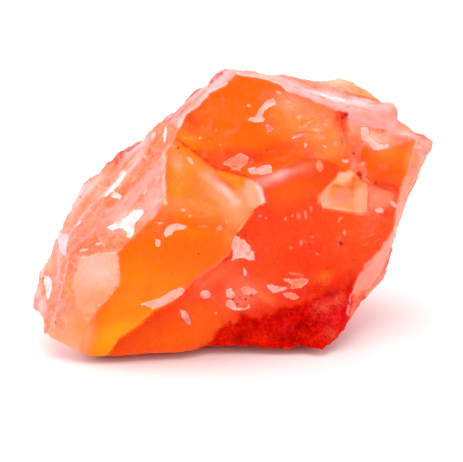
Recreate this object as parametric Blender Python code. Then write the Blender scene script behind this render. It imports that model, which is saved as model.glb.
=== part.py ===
"""A piece of rough carnelian, 52 mm long, broken all over and resting on one flat break.

Lengths in the tables are millimetres. The model is in metres, +Z up, with +X along the stone, -Y
towards the side that is best seen, and the origin on the table under the middle of the stone.
"""

import math

import bmesh
import bpy
import numpy as np
from mathutils import Matrix, Vector, noise
from mathutils.geometry import delaunay_2d_cdt

MM = 0.001

# The stone is set out on an upright sheet that faces the viewer, who looks down on it a little.
# A point on the seen side is (across, rise, back): across and rise are where the line of sight
# crosses the sheet, and back is how far the point lies behind the sheet's foot, along +Y.
SIGHT_TILT = math.radians(20.0)
SIGHT_DISTANCE = 500.0
SIGHT_RISE = 11.9

# The sheet's foot, as seen from the middle of the stone's box.
FOOT_X = 0.0
FOOT_Y = 0.5

# Classes of faces while the stone is made.
CALM = 0
STEEP = 1
HIDDEN = 2

# Corners where several ridges meet.
TIP = (-26.7, 1.6, -8.6)
LEFT_HIP = (-24.3, 8.6, -3.0)
FLANK_TOP = (-11.8, 24.3, 1.3)
SADDLE = (-9.7, 26.6, 1.3)
CROWN = (-1.0, 33.65, -0.5)
BAND_START = (2.5, 33.25, 0.0)
KNOB_LEFT = (12.3, 31.9, 4.6)
KNOB_RIGHT = (19.8, 29.2, 3.5)
SLAB_TOP = (21.4, 28.9, 1.5)
SLAB_EDGE = (22.0, 28.0, 0.4)
SLAB_LOW = (21.9, 26.8, -1.0)
SHOULDER = (26.75, 23.7, -0.5)
ELBOW = (23.2, 15.8, -1.0)
HEEL = (12.0, -3.9, -13.3)
INSTEP = (-3.5, -3.45, -12.6)
TOE = (-16.9, -4.8, -15.7)
TOE_LEFT = (-20.4, -4.2, -15.6)
LEFT_FOOT = (-25.2, -1.8, -13.5)
LEFT_STEP = (-25.3, 0.3, -11.0)

APEX = (-7.8, 24.0, -5.5)
BULGE_LEFT = (-9.0, 15.6, -13.5)
HEX_TOP_RIGHT = (-15.4, 9.1, -14.8)
HEX_BOTTOM = (-18.3, 1.0, -16.2)
HEX_LEFT = (-21.4, 5.3, -14.2)
HEX_TOP_LEFT = (-20.3, 8.4, -12.6)
FLANK_KNEE = (-22.3, 8.5, -9.6)
WINDOW_FOOT = (-2.3, 20.0, -9.8)
LIP_LEFT = (2.5, 18.7, -9.6)
LIP_RIGHT = (10.2, 21.8, -7.6)
WINDOW_TOP = (0.5, 32.9, -2.2)
WINDOW_CORNER = (6.4, 31.5, -2.2)
BAND_CORNER = (15.1, 27.7, -3.6)
CREST_FOOT = (0.9, 13.6, -14.2)
EDGE_TOP = (3.0, 15.0, -13.2)
EDGE_NOTCH = (0.1, 11.1, -14.6)
CHIP_TOP = (15.4, 19.9, -7.4)
CHIP_LEFT = (11.6, 16.2, -9.7)
CHIP_RIGHT = (18.0, 14.2, -9.2)
PANE_TOP_RIGHT = (24.4, 24.1, -3.6)
PANE_LOW_RIGHT = (22.4, 17.2, -4.6)
PANE_LOW_LEFT = (18.2, 18.9, -6.6)
PANE_TOP_LEFT = (17.4, 24.2, -5.4)
RIM_ELBOW = (21.9, 14.8, -4.8)
RIM_FOOT = (14.7, -0.8, -10.6)

SKYLINE = [
    TIP, (-25.7, 6.2, -5.2), LEFT_HIP, (-23.2, 11.4, -1.5), (-21.6, 14.8, 0.3), (-20.2, 17.9, 1.5),
    (-17.2, 20.4, 1.8), (-15.2, 22.3, 1.6), (-13.3, 23.6, 1.6), FLANK_TOP, SADDLE, (-7.4, 28.1, 1.1),
    (-5.2, 30.5, 1.0), (-3.3, 31.7, 0.6), (-2.3, 33.0, 0.1), CROWN, BAND_START, (5.4, 32.6, 1.0),
    (6.8, 32.8, 2.5), (10.5, 31.9, 4.0), KNOB_LEFT, (14.3, 32.25, 6.5), (16.2, 31.7, 6.5),
    (18.3, 30.3, 5.3), KNOB_RIGHT, SLAB_TOP, SLAB_EDGE, SLAB_LOW, (24.3, 25.3, -1.0),
    (25.6, 24.9, -0.7), SHOULDER, (26.2, 21.9, -0.5), (24.8, 19.2, -0.8), ELBOW, (22.3, 12.6, -1.5),
    (21.3, 9.0, -2.0), (20.1, 5.6, -3.0), (18.0, 3.2, -4.8), (16.2, 1.1, -7.0), (15.0, -1.5, -9.4),
    HEEL, (9.5, -3.4, -12.4), (6.5, -3.8, -12.8), (2.5, -3.4, -12.4), INSTEP, (-6.0, -4.2, -14.2),
    TOE, (-19.2, -4.8, -15.7), TOE_LEFT, (-22.7, -3.1, -14.6), LEFT_FOOT, LEFT_STEP,
]

# Sharp ridges of the seen side. Each runs from corner to corner.
SEEN_RIDGES = {
    "flank and bulge": [
        APEX, (-8.8, 22.4, -8.6), (-9.0, 19.5, -12.0), BULGE_LEFT, (-12.3, 12.0, -14.4),
        HEX_TOP_RIGHT, (-15.1, 5.0, -16.3), (-16.8, 2.9, -16.5), HEX_BOTTOM, (-19.8, -1.0, -16.3), TOE_LEFT,
    ],
    "hexagon": [HEX_TOP_RIGHT, HEX_TOP_LEFT, (-20.1, 7.3, -13.3), HEX_LEFT, (-21.0, 1.6, -15.0), HEX_BOTTOM],
    "left strip": [FLANK_KNEE, (-22.6, 4.2, -12.6), (-24.0, -1.2, -13.9), LEFT_FOOT],
    "left strip top": [HEX_TOP_LEFT, FLANK_KNEE, LEFT_HIP],
    "tip strip": [LEFT_STEP, (-24.9, 3.0, -9.6), (-24.6, 6.0, -7.4), FLANK_KNEE],
    "upper flank": [
        FLANK_TOP, (-12.2, 22.6, -1.6), (-15.0, 19.5, -2.2), (-17.3, 16.9, -3.0), (-20.6, 13.4, -4.0),
        (-22.3, 10.6, -4.6), FLANK_KNEE,
    ],
    "lower flank": [
        SADDLE, (-9.3, 23.6, -3.0), (-9.9, 20.4, -7.2), (-11.6, 17.0, -9.4), (-13.2, 14.8, -10.7),
        (-16.9, 12.0, -10.8), FLANK_KNEE,
    ],
    "flake": [(-13.2, 14.8, -10.7), (-13.2, 12.9, -13.0), (-14.3, 10.8, -13.4), (-16.9, 12.0, -10.8)],
    "saddle": [SADDLE, (-8.2, 25.3, -3.2), APEX],
    "window rim": [
        APEX, (-7.1, 25.6, -4.6), (-6.3, 27.5, -3.8), (-4.6, 28.6, -3.7), (-3.4, 30.2, -3.0),
        (-1.0, 31.3, -2.8), WINDOW_TOP, (3.6, 32.4, -2.0), WINDOW_CORNER, (7.2, 30.6, -2.8),
        (9.8, 29.8, -2.9), (12.8, 28.5, -3.4), BAND_CORNER,
    ],
    "window top": [WINDOW_TOP, CROWN],
    "window foot": [APEX, (-5.0, 22.1, -7.6), (-3.0, 20.7, -9.1), WINDOW_FOOT, (0.6, 19.4, -9.8), LIP_LEFT],
    "lip": [LIP_LEFT, (5.4, 19.8, -8.9), (8.0, 20.9, -8.3), LIP_RIGHT],
    "bulge edge": [
        LIP_LEFT, (3.7, 17.7, -10.6), (4.3, 15.8, -11.8), EDGE_TOP, (1.0, 12.0, -14.3), EDGE_NOTCH,
        (0.0, 9.3, -15.0), (-2.5, 7.1, -15.6), (-5.3, 5.2, -16.0), (-6.5, 4.0, -16.2), (-8.2, 2.2, -16.3),
        (-10.5, 1.3, -16.4), (-12.8, -0.9, -16.4), (-15.2, -2.5, -16.2), TOE,
    ],
    "behind the edge": [
        LIP_LEFT, (4.2, 17.5, -9.6), (4.8, 15.7, -9.5), (3.4, 14.7, -9.9), (1.6, 11.7, -10.6),
        (2.6, 9.9, -10.5), (3.0, 8.1, -10.6), (0.5, 8.2, -11.2), (-1.6, 6.1, -11.8), (-4.6, 4.3, -12.4),
        (-6.0, 3.3, -12.7), (-7.8, 1.6, -13.0), (-10.1, 0.8, -13.4), (-12.3, -1.4, -14.1),
        (-14.9, -3.0, -14.9), TOE,
    ],
    "flake behind": [EDGE_NOTCH, (1.6, 11.7, -10.6)],
    "triangle chip": [
        CHIP_TOP, (13.2, 18.2, -8.8), CHIP_LEFT, (12.0, 14.9, -10.5), (15.0, 14.6, -10.2), CHIP_RIGHT,
        (17.9, 17.5, -7.9), (17.0, 18.8, -7.2), CHIP_TOP,
    ],
    "under the chip": [
        CHIP_LEFT, (11.7, 14.4, -9.0), (15.0, 14.1, -8.6), (18.2, 13.7, -7.6), CHIP_RIGHT,
    ],
    "chip crease": [(16.2, 18.7, -6.8), (15.9, 16.8, -7.7), (15.9, 15.2, -9.0)],
    "chip step": [(13.8, 18.0, -7.8), (15.0, 17.6, -7.4), (15.9, 16.8, -7.7)],
    "slab": [BAND_CORNER, (15.4, 26.2, -5.6), (17.9, 25.9, -5.2), (21.4, 25.4, -4.0), SLAB_LOW],
    "notch": [BAND_CORNER, (14.7, 24.9, -6.4), (13.2, 28.2, -3.9)],
    "pane": [
        PANE_TOP_LEFT, (18.9, 22.9, -5.9), (20.8, 23.1, -5.3), PANE_TOP_RIGHT, (23.6, 20.6, -4.2),
        PANE_LOW_RIGHT, (20.3, 17.5, -5.6), PANE_LOW_LEFT,
    ],
    "pane top": [(21.4, 25.4, -4.0), PANE_TOP_RIGHT, SHOULDER],
    "right rim": [
        PANE_LOW_RIGHT, RIM_ELBOW, (21.5, 12.0, -4.9), (19.9, 9.4, -5.7), (18.0, 7.6, -6.6),
        (16.5, 5.2, -7.7), (15.5, 3.0, -8.8), (15.2, 0.9, -9.8), RIM_FOOT, HEEL,
    ],
    "band step": [
        (9.8, 29.8, -2.9), (12.0, 29.8, -0.8), (14.2, 29.2, -0.2), (17.4, 28.9, 0.6), (19.8, 28.4, 0.4),
        SLAB_EDGE,
    ],
    "upper band": [
        BAND_START, (6.6, 32.0, -0.6), (9.6, 30.9, 0.3), (12.0, 30.5, 1.5), (14.6, 30.1, 2.4), KNOB_RIGHT,
    ],
    "knob foot": [KNOB_LEFT, (14.0, 31.0, 3.6), (16.2, 30.4, 3.5), KNOB_RIGHT],
    "red shelf": [
        (-1.6, -1.2, -12.3), (0.0, 0.1, -12.1), (3.0, 0.4, -11.6), (5.2, 0.9, -11.3), (8.0, 2.2, -10.7),
        (10.2, 2.4, -10.3), (12.4, 3.7, -9.4), (15.5, 3.0, -8.8),
    ],
}

# Soft bends of the seen side, where the surface turns without an edge.
SEEN_BENDS = {
    "crest": [
        (-6.6, 22.5, -9.3), (-5.3, 21.0, -11.2), (-2.6, 19.3, -12.3), (-0.6, 18.0, -12.9),
        (0.4, 16.6, -13.4), (0.9, 15.2, -13.9), CREST_FOOT,
    ],
    "bulge belly": [(-9.6, 12.6, -15.2), (-6.0, 12.2, -15.2), (-2.0, 12.0, -15.1)],
    "bulge brow": [(-7.6, 15.9, -14.0), (-4.6, 15.8, -14.2), (-1.6, 15.4, -14.3)],
    "bulge chin": [(-14.0, 3.0, -17.0), (-9.0, 5.4, -16.9), (-4.4, 7.4, -16.3)],
    "under the lip": [(4.0, 18.2, -10.2), (6.2, 18.8, -10.2), (8.8, 20.0, -9.4), (11.0, 20.8, -8.6)],
    "face hollow": [(6.5, 14.0, -9.0), (7.6, 9.6, -8.9), (5.6, 5.6, -9.9), (2.2, 3.2, -11.3)],
    "face right": [(14.6, 11.4, -7.6), (13.0, 7.4, -8.0), (18.4, 11.6, -6.2)],
    "window bend": [(6.2, 28.2, -4.4), (8.4, 25.4, -6.0), (10.3, 23.2, -7.2)],
    "window middle": [(-3.4, 25.2, -6.2), (1.8, 25.4, -6.6)],
    "bruise": [(12.6, 25.2, -6.4), (12.9, 21.6, -7.8), (15.6, 22.4, -7.0)],
    "foot band": [(-12.0, -3.4, -14.4), (-7.6, -1.6, -13.6), (-3.0, 1.4, -12.6)],
    "beside the chip": [(20.0, 15.8, -6.0)],
}

# The flat break that the stone rests on: corners (x, y) on the table.
BASE = [
    (-17.4, -12.2), (-7.4, -10.8), (-3.2, -8.0), (6.4, -8.6), (10.8, -8.6), (13.2, -5.0),
    (13.0, 3.0), (6.0, 8.0), (-7.0, 8.4), (-15.5, 3.4), (-20.0, -5.0), (-18.8, -11.4),
]

# Corners of the hidden side, as (x, y, z).
BACK_LOW_LEFT = (-23.2, -3.8, 6.0)
BACK_LOW_MIDDLE = (-9.4, 11.2, 4.4)
BACK_LOW_RIGHT = (12.6, 10.6, 5.2)
BACK_LEFT = (-18.6, 5.0, 13.4)
BACK_MIDDLE = (-3.4, 15.6, 13.8)
BACK_RIGHT = (10.6, 15.2, 15.4)
BACK_CORNER = (20.4, 7.0, 14.8)
BACK_HIGH_LEFT = (-8.8, 7.6, 23.6)
BACK_HIGH_MIDDLE = (3.2, 11.4, 25.4)
BACK_HIGH_RIGHT = (14.6, 12.0, 26.2)
BACK_SHOULDER = (22.6, 5.8, 21.8)

HIDDEN_RIDGES = {
    "back foot": [
        BACK_LOW_LEFT, (-17.0, 5.2, 4.2), BACK_LOW_MIDDLE, (2.4, 12.6, 3.6), BACK_LOW_RIGHT, (17.4, 2.6, 6.0),
    ],
    "back waist": [BACK_LEFT, (-10.4, 12.6, 12.2), BACK_MIDDLE, (4.2, 14.6, 16.2), BACK_RIGHT, BACK_CORNER],
    "back brow": [BACK_LEFT, BACK_HIGH_LEFT, BACK_HIGH_MIDDLE, BACK_HIGH_RIGHT, BACK_SHOULDER, BACK_CORNER],
    "back left rib": [BACK_LOW_LEFT, BACK_LEFT],
    "back left break": [BACK_LOW_MIDDLE, (-10.4, 12.6, 12.2)],
    "back middle break": [BACK_MIDDLE, (-1.0, 13.4, 21.0), BACK_HIGH_MIDDLE],
    "back right break": [BACK_LOW_RIGHT, (12.4, 14.4, 10.2), BACK_RIGHT],
    "back right rib": [(17.4, 2.6, 6.0), BACK_CORNER],
    "back shelf": [BACK_HIGH_LEFT, (-2.6, 8.6, 28.4), (5.6, 7.6, 30.2), (11.0, 9.6, 29.6), BACK_HIGH_RIGHT],
    "left scar": [BACK_LEFT, (-16.4, 7.5, 10.4), (-14.4, 8.7, 7.6), (-13.2, 8.7, 5.4)],
    "middle scar": [BACK_MIDDLE, (-0.6, 15.6, 10.2), (3.4, 14.9, 7.4), (2.4, 12.6, 3.6)],
    "right scar": [(12.4, 14.4, 10.2), (16.0, 10.6, 9.0), (18.5, 5.8, 10.6)],
    "brow scar": [(-10.4, 12.6, 12.2), (-8.4, 11.7, 17.6), (-3.6, 11.9, 22.0), BACK_HIGH_MIDDLE],
}

# Chips, pits and scars: (across, rise, half length, half height, turn in degrees, depth).
SEEN_CHIPS = [
    # upper face: the moon-shaped scar and the bruises to its right
    (4.4, 28.2, 1.9, 0.55, 50, 0.5), (3.2, 26.9, 1.2, 0.5, -10, 0.4), (5.2, 25.6, 0.5, 0.8, 0, 0.3),
    (9.0, 24.6, 0.9, 0.6, 30, 0.4), (9.4, 26.2, 0.5, 0.6, 0, 0.3), (8.8, 27.6, 0.6, 0.4, 20, 0.3),
    (11.6, 24.6, 0.7, 0.5, -20, 0.35), (12.6, 27.0, 0.7, 0.5, 15, 0.35), (11.6, 22.6, 0.9, 0.5, 25, 0.35),
    (0.4, 21.3, 1.5, 0.6, -10, 0.4), (-3.6, 28.0, 0.7, 0.4, 40, 0.3),
    # along the edge of the bulge
    (-8.6, 2.9, 1.9, 1.0, 30, 0.8), (3.6, 20.0, 1.4, 0.6, 20, 0.5), (1.6, 9.8, 0.9, 1.3, 10, 0.6),
    (-9.0, 12.2, 0.5, 0.6, 0, 0.25), (-4.6, 14.3, 1.2, 0.4, -15, 0.25), (-1.3, 12.9, 0.6, 0.6, 0, 0.3),
    # middle face
    (-3.6, 3.4, 1.1, 0.7, 20, 0.4), (0.6, 3.0, 1.7, 1.3, 0, 0.45), (-6.3, 0.4, 0.9, 0.7, 0, 0.4),
    (6.8, 4.6, 2.2, 0.4, -12, 0.35), (7.8, 3.3, 1.3, 0.35, -15, 0.3), (8.4, 5.6, 1.4, 0.35, -15, 0.3),
    (12.2, 5.5, 0.7, 0.6, 0, 0.35), (9.3, 14.0, 0.8, 0.5, 10, 0.3), (4.0, 13.8, 0.8, 0.5, 0, 0.3),
    (10.2, 9.9, 1.1, 0.5, -25, 0.3), (1.7, 6.4, 0.5, 0.5, 0, 0.3), (14.7, 10.2, 0.6, 0.6, 0, 0.35),
    # pits beside the window pane
    (16.9, 19.5, 0.6, 0.6, 45, 0.8), (16.2, 22.4, 0.6, 0.5, 0, 0.4), (14.7, 23.8, 0.5, 0.6, 0, 0.4),
    (19.6, 25.2, 1.4, 0.3, 3, 0.5), (21.0, 20.4, 0.7, 0.5, 20, 0.3),
    (19.6, 14.5, 0.6, 0.5, 0, 0.35), (21.3, 16.0, 0.6, 0.7, 0, 0.3),
    # dark foot of the middle face
    (3.2, -1.6, 1.1, 0.7, 10, 0.5), (6.6, -0.6, 0.9, 0.6, -20, 0.45), (9.4, -1.2, 1.2, 0.7, 15, 0.5),
    (11.6, 0.6, 0.8, 0.7, 30, 0.5), (0.6, -2.2, 0.8, 0.5, 0, 0.4), (7.8, -2.6, 0.8, 0.4, 0, 0.4),
    # left flank
    (-14.6, 12.9, 1.0, 0.7, 30, 0.4), (-16.0, 18.4, 1.6, 0.4, 45, 0.35), (-15.6, 16.8, 0.7, 0.4, 20, 0.3),
    (-24.6, 4.4, 0.5, 1.1, 0, 0.4), (-22.2, 12.2, 0.5, 0.9, -20, 0.4), (-19.4, 11.2, 0.9, 0.5, 35, 0.35),
    (-22.6, -0.6, 0.6, 0.9, 10, 0.4), (-18.0, 15.2, 1.0, 0.5, 40, 0.3),
]

HIDDEN_CHIPS = [
    (-14.0, 16.0, 2.6, 1.6, 35, 1.2), (-17.6, 9.4, 2.0, 1.4, 0, 0.9), (-4.6, 18.6, 2.8, 1.7, 20, 1.2),
    (4.6, 23.6, 2.2, 1.3, -15, 1.0), (13.4, 21.6, 2.2, 1.6, 30, 1.0), (10.6, 12.6, 3.0, 1.6, -10, 1.1),
    (17.6, 13.6, 1.6, 1.6, 0, 0.9), (-9.6, 9.6, 2.4, 1.2, 10, 0.9), (-2.6, 27.6, 1.8, 1.0, 25, 0.8),
    (2.6, 11.4, 1.6, 1.1, 0, 0.7), (20.6, 20.6, 1.4, 1.4, 0, 0.8),
]

# How strongly the faces are dished, as (across, rise, reach, strength). A minus sign is a swelling.
SEEN_DISHES = [
    (-7.0, 9.0, 7.0, -0.16), (-5.0, 18.5, 4.0, -0.10), (2.5, 26.0, 6.0, 0.03), (9.0, 9.0, 7.0, 0.12),
    (8.0, 17.0, 3.0, 0.20), (-18.0, 12.0, 6.0, 0.20), (-18.0, 5.0, 3.0, 0.0), (7.0, -1.0, 6.0, -0.10),
    (20.0, 20.6, 3.5, 0.06), (18.5, 27.4, 2.5, 0.10), (15.2, 16.8, 2.2, 0.10), (15.5, 31.0, 3.0, -0.20),
]
HIDDEN_DISHES = [
    (-6.0, 14.0, 9.0, 0.10), (10.0, 20.0, 8.0, 0.08), (12.0, 8.0, 6.0, 0.12), (-16.0, 10.0, 6.0, 0.10),
]
SEEN_DISH = 0.03
HIDDEN_DISH = 0.03

# Gaps between the points of the net, and how far the points stray from a straight line or row.
SEEN_STEP = 0.95
HIDDEN_STEP = 1.7
CHIP_STEP = 0.75
RIDGE_WANDER = 0.16
WANDERS_PER_MM = 0.9
GRID_SHAKE = 0.16
GRID_CLEARANCE = 0.62
TOUCH = 0.001

# Chips: how ragged their outline is, the gap that joins two points, the steepness and reach of the side.
CHIP_RAGGED = 0.3
CHIP_SNAP = 0.3
CHIP_STEEP = 0.6
CHIP_RIM = 1.02

# Fine unevenness, by depth. It is coarse on the dark foot of the middle face, whose middle is given.
SEEN_GRAIN = 0.06
FOOT_GRAIN = 0.5
HIDDEN_GRAIN = 0.3
GRAINS_PER_MM = 0.75
HIDDEN_GRAIN_SHIFT = 18.0
FOOT_PLACE = (7.0, -1.5)
FOOT_REACH = (9.0, 3.4)

SETTLE_STEPS = 1200
SOFTEN_STEPS = 7
BASE_CLEARANCE = 0.2
HIDDEN_LONGEST = 2.4
STEEP_LONGEST = 1.7
STEEP_FACING = 0.45
EVEN_ROUNDS = 3
EVEN_STEPS = 3
EVEN_SHARE = 0.5

STONE_COLOUR = (0.85, 0.16, 0.03, 1)
STONE_ROUGHNESS = 0.3
RANDOM_SEED = 11


def sight_axes():
    """The directions up the sheet and away from the eye."""
    up = Vector((0, math.sin(SIGHT_TILT), math.cos(SIGHT_TILT)))
    away = Vector((0, math.cos(SIGHT_TILT), -math.sin(SIGHT_TILT)))
    return up, away


def along_sight(across, rise, reach):
    """The point at a given reach behind the sheet on the line of sight through (across, rise)."""
    up, away = sight_axes()
    spread = 1 + reach / SIGHT_DISTANCE
    return Vector((across * spread, 0, 0)) + up * (SIGHT_RISE + (rise - SIGHT_RISE) * spread) + away * reach


def on_stone(across, rise, back):
    """The point (x, y, z) that is seen at (across, rise) and lies at y = back."""
    up, away = sight_axes()
    start = rise * up.y
    gain = away.y + (rise - SIGHT_RISE) * up.y / SIGHT_DISTANCE
    return along_sight(across, rise, (back - start) / gain)


def on_table(across, rise):
    """The point of the table that is seen at (across, rise)."""
    up, away = sight_axes()
    gain = away.z + (rise - SIGHT_RISE) * up.z / SIGHT_DISTANCE
    return along_sight(across, rise, -rise * up.z / gain)


def from_space(x, y, z):
    """A point in space as (across, rise, back)."""
    up, away = sight_axes()
    point = Vector((x, y, z))
    spread = 1 + point.dot(away) / SIGHT_DISTANCE
    return (x / spread, SIGHT_RISE + (point.dot(up) - SIGHT_RISE) / spread, y)


def stepped(corners, step):
    """Points along a line through the corners, wandering a little between them."""
    points = [Vector(corners[0])]
    for start, end in zip(corners, corners[1:]):
        start, end = Vector(start), Vector(end)
        parts = max(1, round((end - start).xy.length / step))
        for part in range(1, parts):
            point = start.lerp(end, part / parts)
            points.append(point + noise.noise_vector(point * WANDERS_PER_MM) * RIDGE_WANDER)
        points.append(end)
    return points


def inside(place, loop):
    """Whether a flat place lies inside a closed loop."""
    crossings = 0
    for (x0, y0), (x1, y1) in zip(loop, loop[1:] + loop[:1]):
        if (y0 > place[1]) != (y1 > place[1]):
            crossings += place[0] < x0 + (x1 - x0) * (place[1] - y0) / (y1 - y0)
    return crossings % 2 == 1


class Side:
    """One side of the stone: points of the sheet with a depth each, and lines between them."""

    def __init__(self, rim, facing, step):
        self.facing = facing
        self.step = step
        self.points = []
        self.held = []
        self.lines = []
        self.sharp = []
        self.known = {}
        self.rim = self.add_line([*rim, rim[0]])[:-1]
        self.loop = [point.xy for point in rim]

    def add(self, point, held):
        key = (round(point[0], 4), round(point[1], 4))
        if key not in self.known:
            self.known[key] = len(self.points)
            self.points.append(Vector(point))
            self.held.append(held)
        return self.known[key]

    def add_line(self, points, sharp=True):
        found = [self.add(point, True) for point in points]
        for pair in zip(found, found[1:]):
            self.lines.append(pair)
            self.sharp.append(sharp)
        return found

    def add_loose(self, across, rise):
        """A free point, or the near point that is already there. None when it is off the stone."""
        if not inside((across, rise), self.loop):
            return None
        gaps = [(point.xy - Vector((across, rise))).length for point in self.points]
        nearest = min(range(len(gaps)), key=gaps.__getitem__)
        if gaps[nearest] < CHIP_SNAP:
            return nearest
        return self.add((across, rise, 0.0), False)

    def add_chip(self, across, rise, half_long, half_high, turn):
        """Free points on the ragged rim of a chip and inside it, with lines along the rim."""
        turned = Matrix.Rotation(math.radians(turn), 2)
        rim_count = max(6, round(math.tau * max(half_long, half_high) / CHIP_STEP))
        for scale, count in ((1.0, rim_count), (0.5, rim_count // 2)):
            ring = []
            for i in range(count):
                angle = math.tau * i / count
                ragged = 1 + CHIP_RAGGED * noise.noise((across + math.cos(angle), rise, math.sin(angle)))
                reach = Vector((half_long * math.cos(angle), half_high * math.sin(angle))) * scale * ragged
                place = turned @ reach
                ring.append(self.add_loose(across + place.x, rise + place.y))
            if scale == 1.0:
                for pair in zip(ring, ring[1:] + ring[:1]):
                    if None not in pair and pair[0] != pair[1]:
                        self.lines.append(pair)
                        self.sharp.append(True)

    def fill(self, rng):
        """Scatter free points between the lines."""
        fixed = np.array([point.xy for point in self.points])
        low, high = fixed.min(axis=0), fixed.max(axis=0)
        row_gap = self.step * math.sqrt(3) / 2
        for row in range(int((high[1] - low[1]) / row_gap) + 1):
            for column in range(int((high[0] - low[0]) / self.step) + 1):
                shake = rng.uniform(-GRID_SHAKE, GRID_SHAKE, 2)
                x = low[0] + (column + 0.5 * (row % 2) + shake[0]) * self.step
                y = low[1] + row * row_gap + shake[1] * self.step
                near = np.hypot(fixed[:, 0] - x, fixed[:, 1] - y).min()
                if near > GRID_CLEARANCE * self.step and inside((x, y), self.loop):
                    self.add((x, y, 0.0), False)

    def weave(self):
        """Join the points into triangles. Where two lines cross, a new point lies on the held one."""
        flaps = True
        while flaps:
            flat = [point.xy for point in self.points]
            made = delaunay_2d_cdt(flat, self.lines, [], 0, 1e-6, True)
            places, self.edges, self.faces, sources, edge_sources = made[:5]
            middles = [sum((places[i] for i in face), Vector((0, 0))) / 3 for face in self.faces]
            self.faces = [face for face, middle in zip(self.faces, middles) if inside(middle, self.loop)]
            rim = {i for i, source in enumerate(sources) if source and source[0] in self.rim}
            flaps = [face for face in self.faces if self.facing < 0 and rim.issuperset(face)]
            for face in flaps:
                self.add((*(sum((places[i] for i in face), Vector((0, 0))) / 3), 0.0), False)
        self.rim = [next(i for i, source in enumerate(sources) if old in source) for old in self.rim]
        points = [self.points[old[0]].copy() if old else Vector((*at, 0)) for at, old in zip(places, sources)]
        held = [self.held[old[0]] if old else False for old in sources]
        self.creases = []
        for edge, source in zip(self.edges, edge_sources):
            lines = [line for line in source if line < len(self.lines)]
            if any(self.sharp[line] for line in lines):
                self.creases.append(edge)
            for start, end in (self.lines[line] for line in lines):
                for new in edge:
                    if not sources[new] and self.held[start] and self.held[end]:
                        first, last = self.points[start], self.points[end]
                        part = (points[new].xy - first.xy).length / (last.xy - first.xy).length
                        points[new].z = first.z + (last.z - first.z) * part
                        held[new] = True
        self.points, self.held = points, held

    def settle(self, dishes, base_dish):
        """Stretch the free points like a film between the held ones, a little dished or swollen."""
        flat = np.array([point.xy for point in self.points])
        back = np.array([point.z for point in self.points])
        held = np.array(self.held)
        ridge = np.zeros(len(flat), dtype=bool)
        ridge[np.array(self.creases).ravel()] = True
        ends = np.array(self.edges)
        ends = np.vstack([ends, ends[:, ::-1]])
        degree = np.bincount(ends[:, 0])
        room = np.bincount(ends[:, 0], ((flat[ends[:, 0]] - flat[ends[:, 1]]) ** 2).sum(axis=1)) / degree / 4
        strength = np.full(len(flat), base_dish)
        for across, rise, reach, amount in dishes:
            gap = ((flat - (across, rise)) ** 2).sum(axis=1)
            strength += amount * np.exp(-gap / reach ** 2)
        push = -self.facing * strength * room
        back[~held] = back[held].mean()
        for step in range(SETTLE_STEPS + SOFTEN_STEPS):
            still = held if step < SETTLE_STEPS else held & ridge
            mean = np.bincount(ends[:, 0], back[ends[:, 1]]) / degree
            back = np.where(still, back, mean + push)
        return flat, back

    def roughen(self, flat, back, chips, grain):
        """Push the chips in and add a fine unevenness everywhere but on the rim."""
        depth = np.zeros(len(flat))
        for across, rise, half_long, half_high, turn, deep in chips:
            angle = math.radians(turn)
            gap = flat - (across, rise)
            along = (gap[:, 0] * math.cos(angle) + gap[:, 1] * math.sin(angle)) / half_long
            over = (gap[:, 1] * math.cos(angle) - gap[:, 0] * math.sin(angle)) / half_high
            depth = np.maximum(depth, deep * np.clip(CHIP_RIM - along ** 2 - over ** 2, 0, 1) ** CHIP_STEEP)
        shift = Vector((HIDDEN_GRAIN_SHIFT if self.facing > 0 else 0.0, 0, 0))
        for i, (x, y) in enumerate(flat):
            depth[i] += grain(x, y) * noise.noise(Vector((x, y, back[i])) * GRAINS_PER_MM + shift)
        depth[self.rim] = 0
        return back - self.facing * depth


def seen_grain(across, rise):
    """Depth of the unevenness: fine on the faces, coarse on the dark foot of the middle face."""
    sideways = (across - FOOT_PLACE[0]) / FOOT_REACH[0]
    upward = (rise - FOOT_PLACE[1]) / FOOT_REACH[1]
    return SEEN_GRAIN + FOOT_GRAIN * math.exp(-sideways ** 2 - upward ** 2)


def hidden_grain(across, rise):
    return HIDDEN_GRAIN


def make_seen(rim, rng):
    side = Side(rim, -1, SEEN_STEP)
    for line in SEEN_RIDGES.values():
        side.add_line(stepped(line, SEEN_STEP))
    for line in SEEN_BENDS.values():
        side.add_line(stepped(line, SEEN_STEP), sharp=False)
    for chip in SEEN_CHIPS:
        side.add_chip(*chip[:5])
    side.fill(rng)
    side.weave()
    flat, back = side.settle(SEEN_DISHES, SEEN_DISH)
    back = side.roughen(flat, back, SEEN_CHIPS, seen_grain)
    return side, [on_stone(*place, depth) for place, depth in zip(flat, back)]


def make_hidden(rim, rng):
    side = Side(rim, 1, HIDDEN_STEP)
    table = [Vector((x, y, 0)) for x, y in BASE]
    for start, end in zip(table, table[1:] + table[:1]):
        parts = round((end - start).length / HIDDEN_STEP)
        side.add_line([from_space(*start.lerp(end, part / parts)) for part in range(parts + 1)])
    for line in HIDDEN_RIDGES.values():
        side.add_line(stepped([from_space(*corner) for corner in line], HIDDEN_STEP))
    for chip in HIDDEN_CHIPS:
        side.add_chip(*chip[:5])
    side.fill(rng)
    for i, point in enumerate(side.points):
        foot = on_table(point.x, point.y)
        if not side.held[i] and inside(foot.xy, BASE):
            side.points[i].z = foot.y
            side.held[i] = True
    side.weave()
    flat, back = side.settle(HIDDEN_DISHES, HIDDEN_DISH)
    rough = side.roughen(flat, back, HIDDEN_CHIPS, hidden_grain)
    places = []
    for (across, rise), depth, rough_depth in zip(flat, back, rough):
        foot = on_table(across, rise)
        place = on_stone(across, rise, rough_depth)
        place.z = max(place.z, BASE_CLEARANCE)
        places.append(foot if abs(foot.y - depth) < TOUCH else place)
    return side, places


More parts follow.
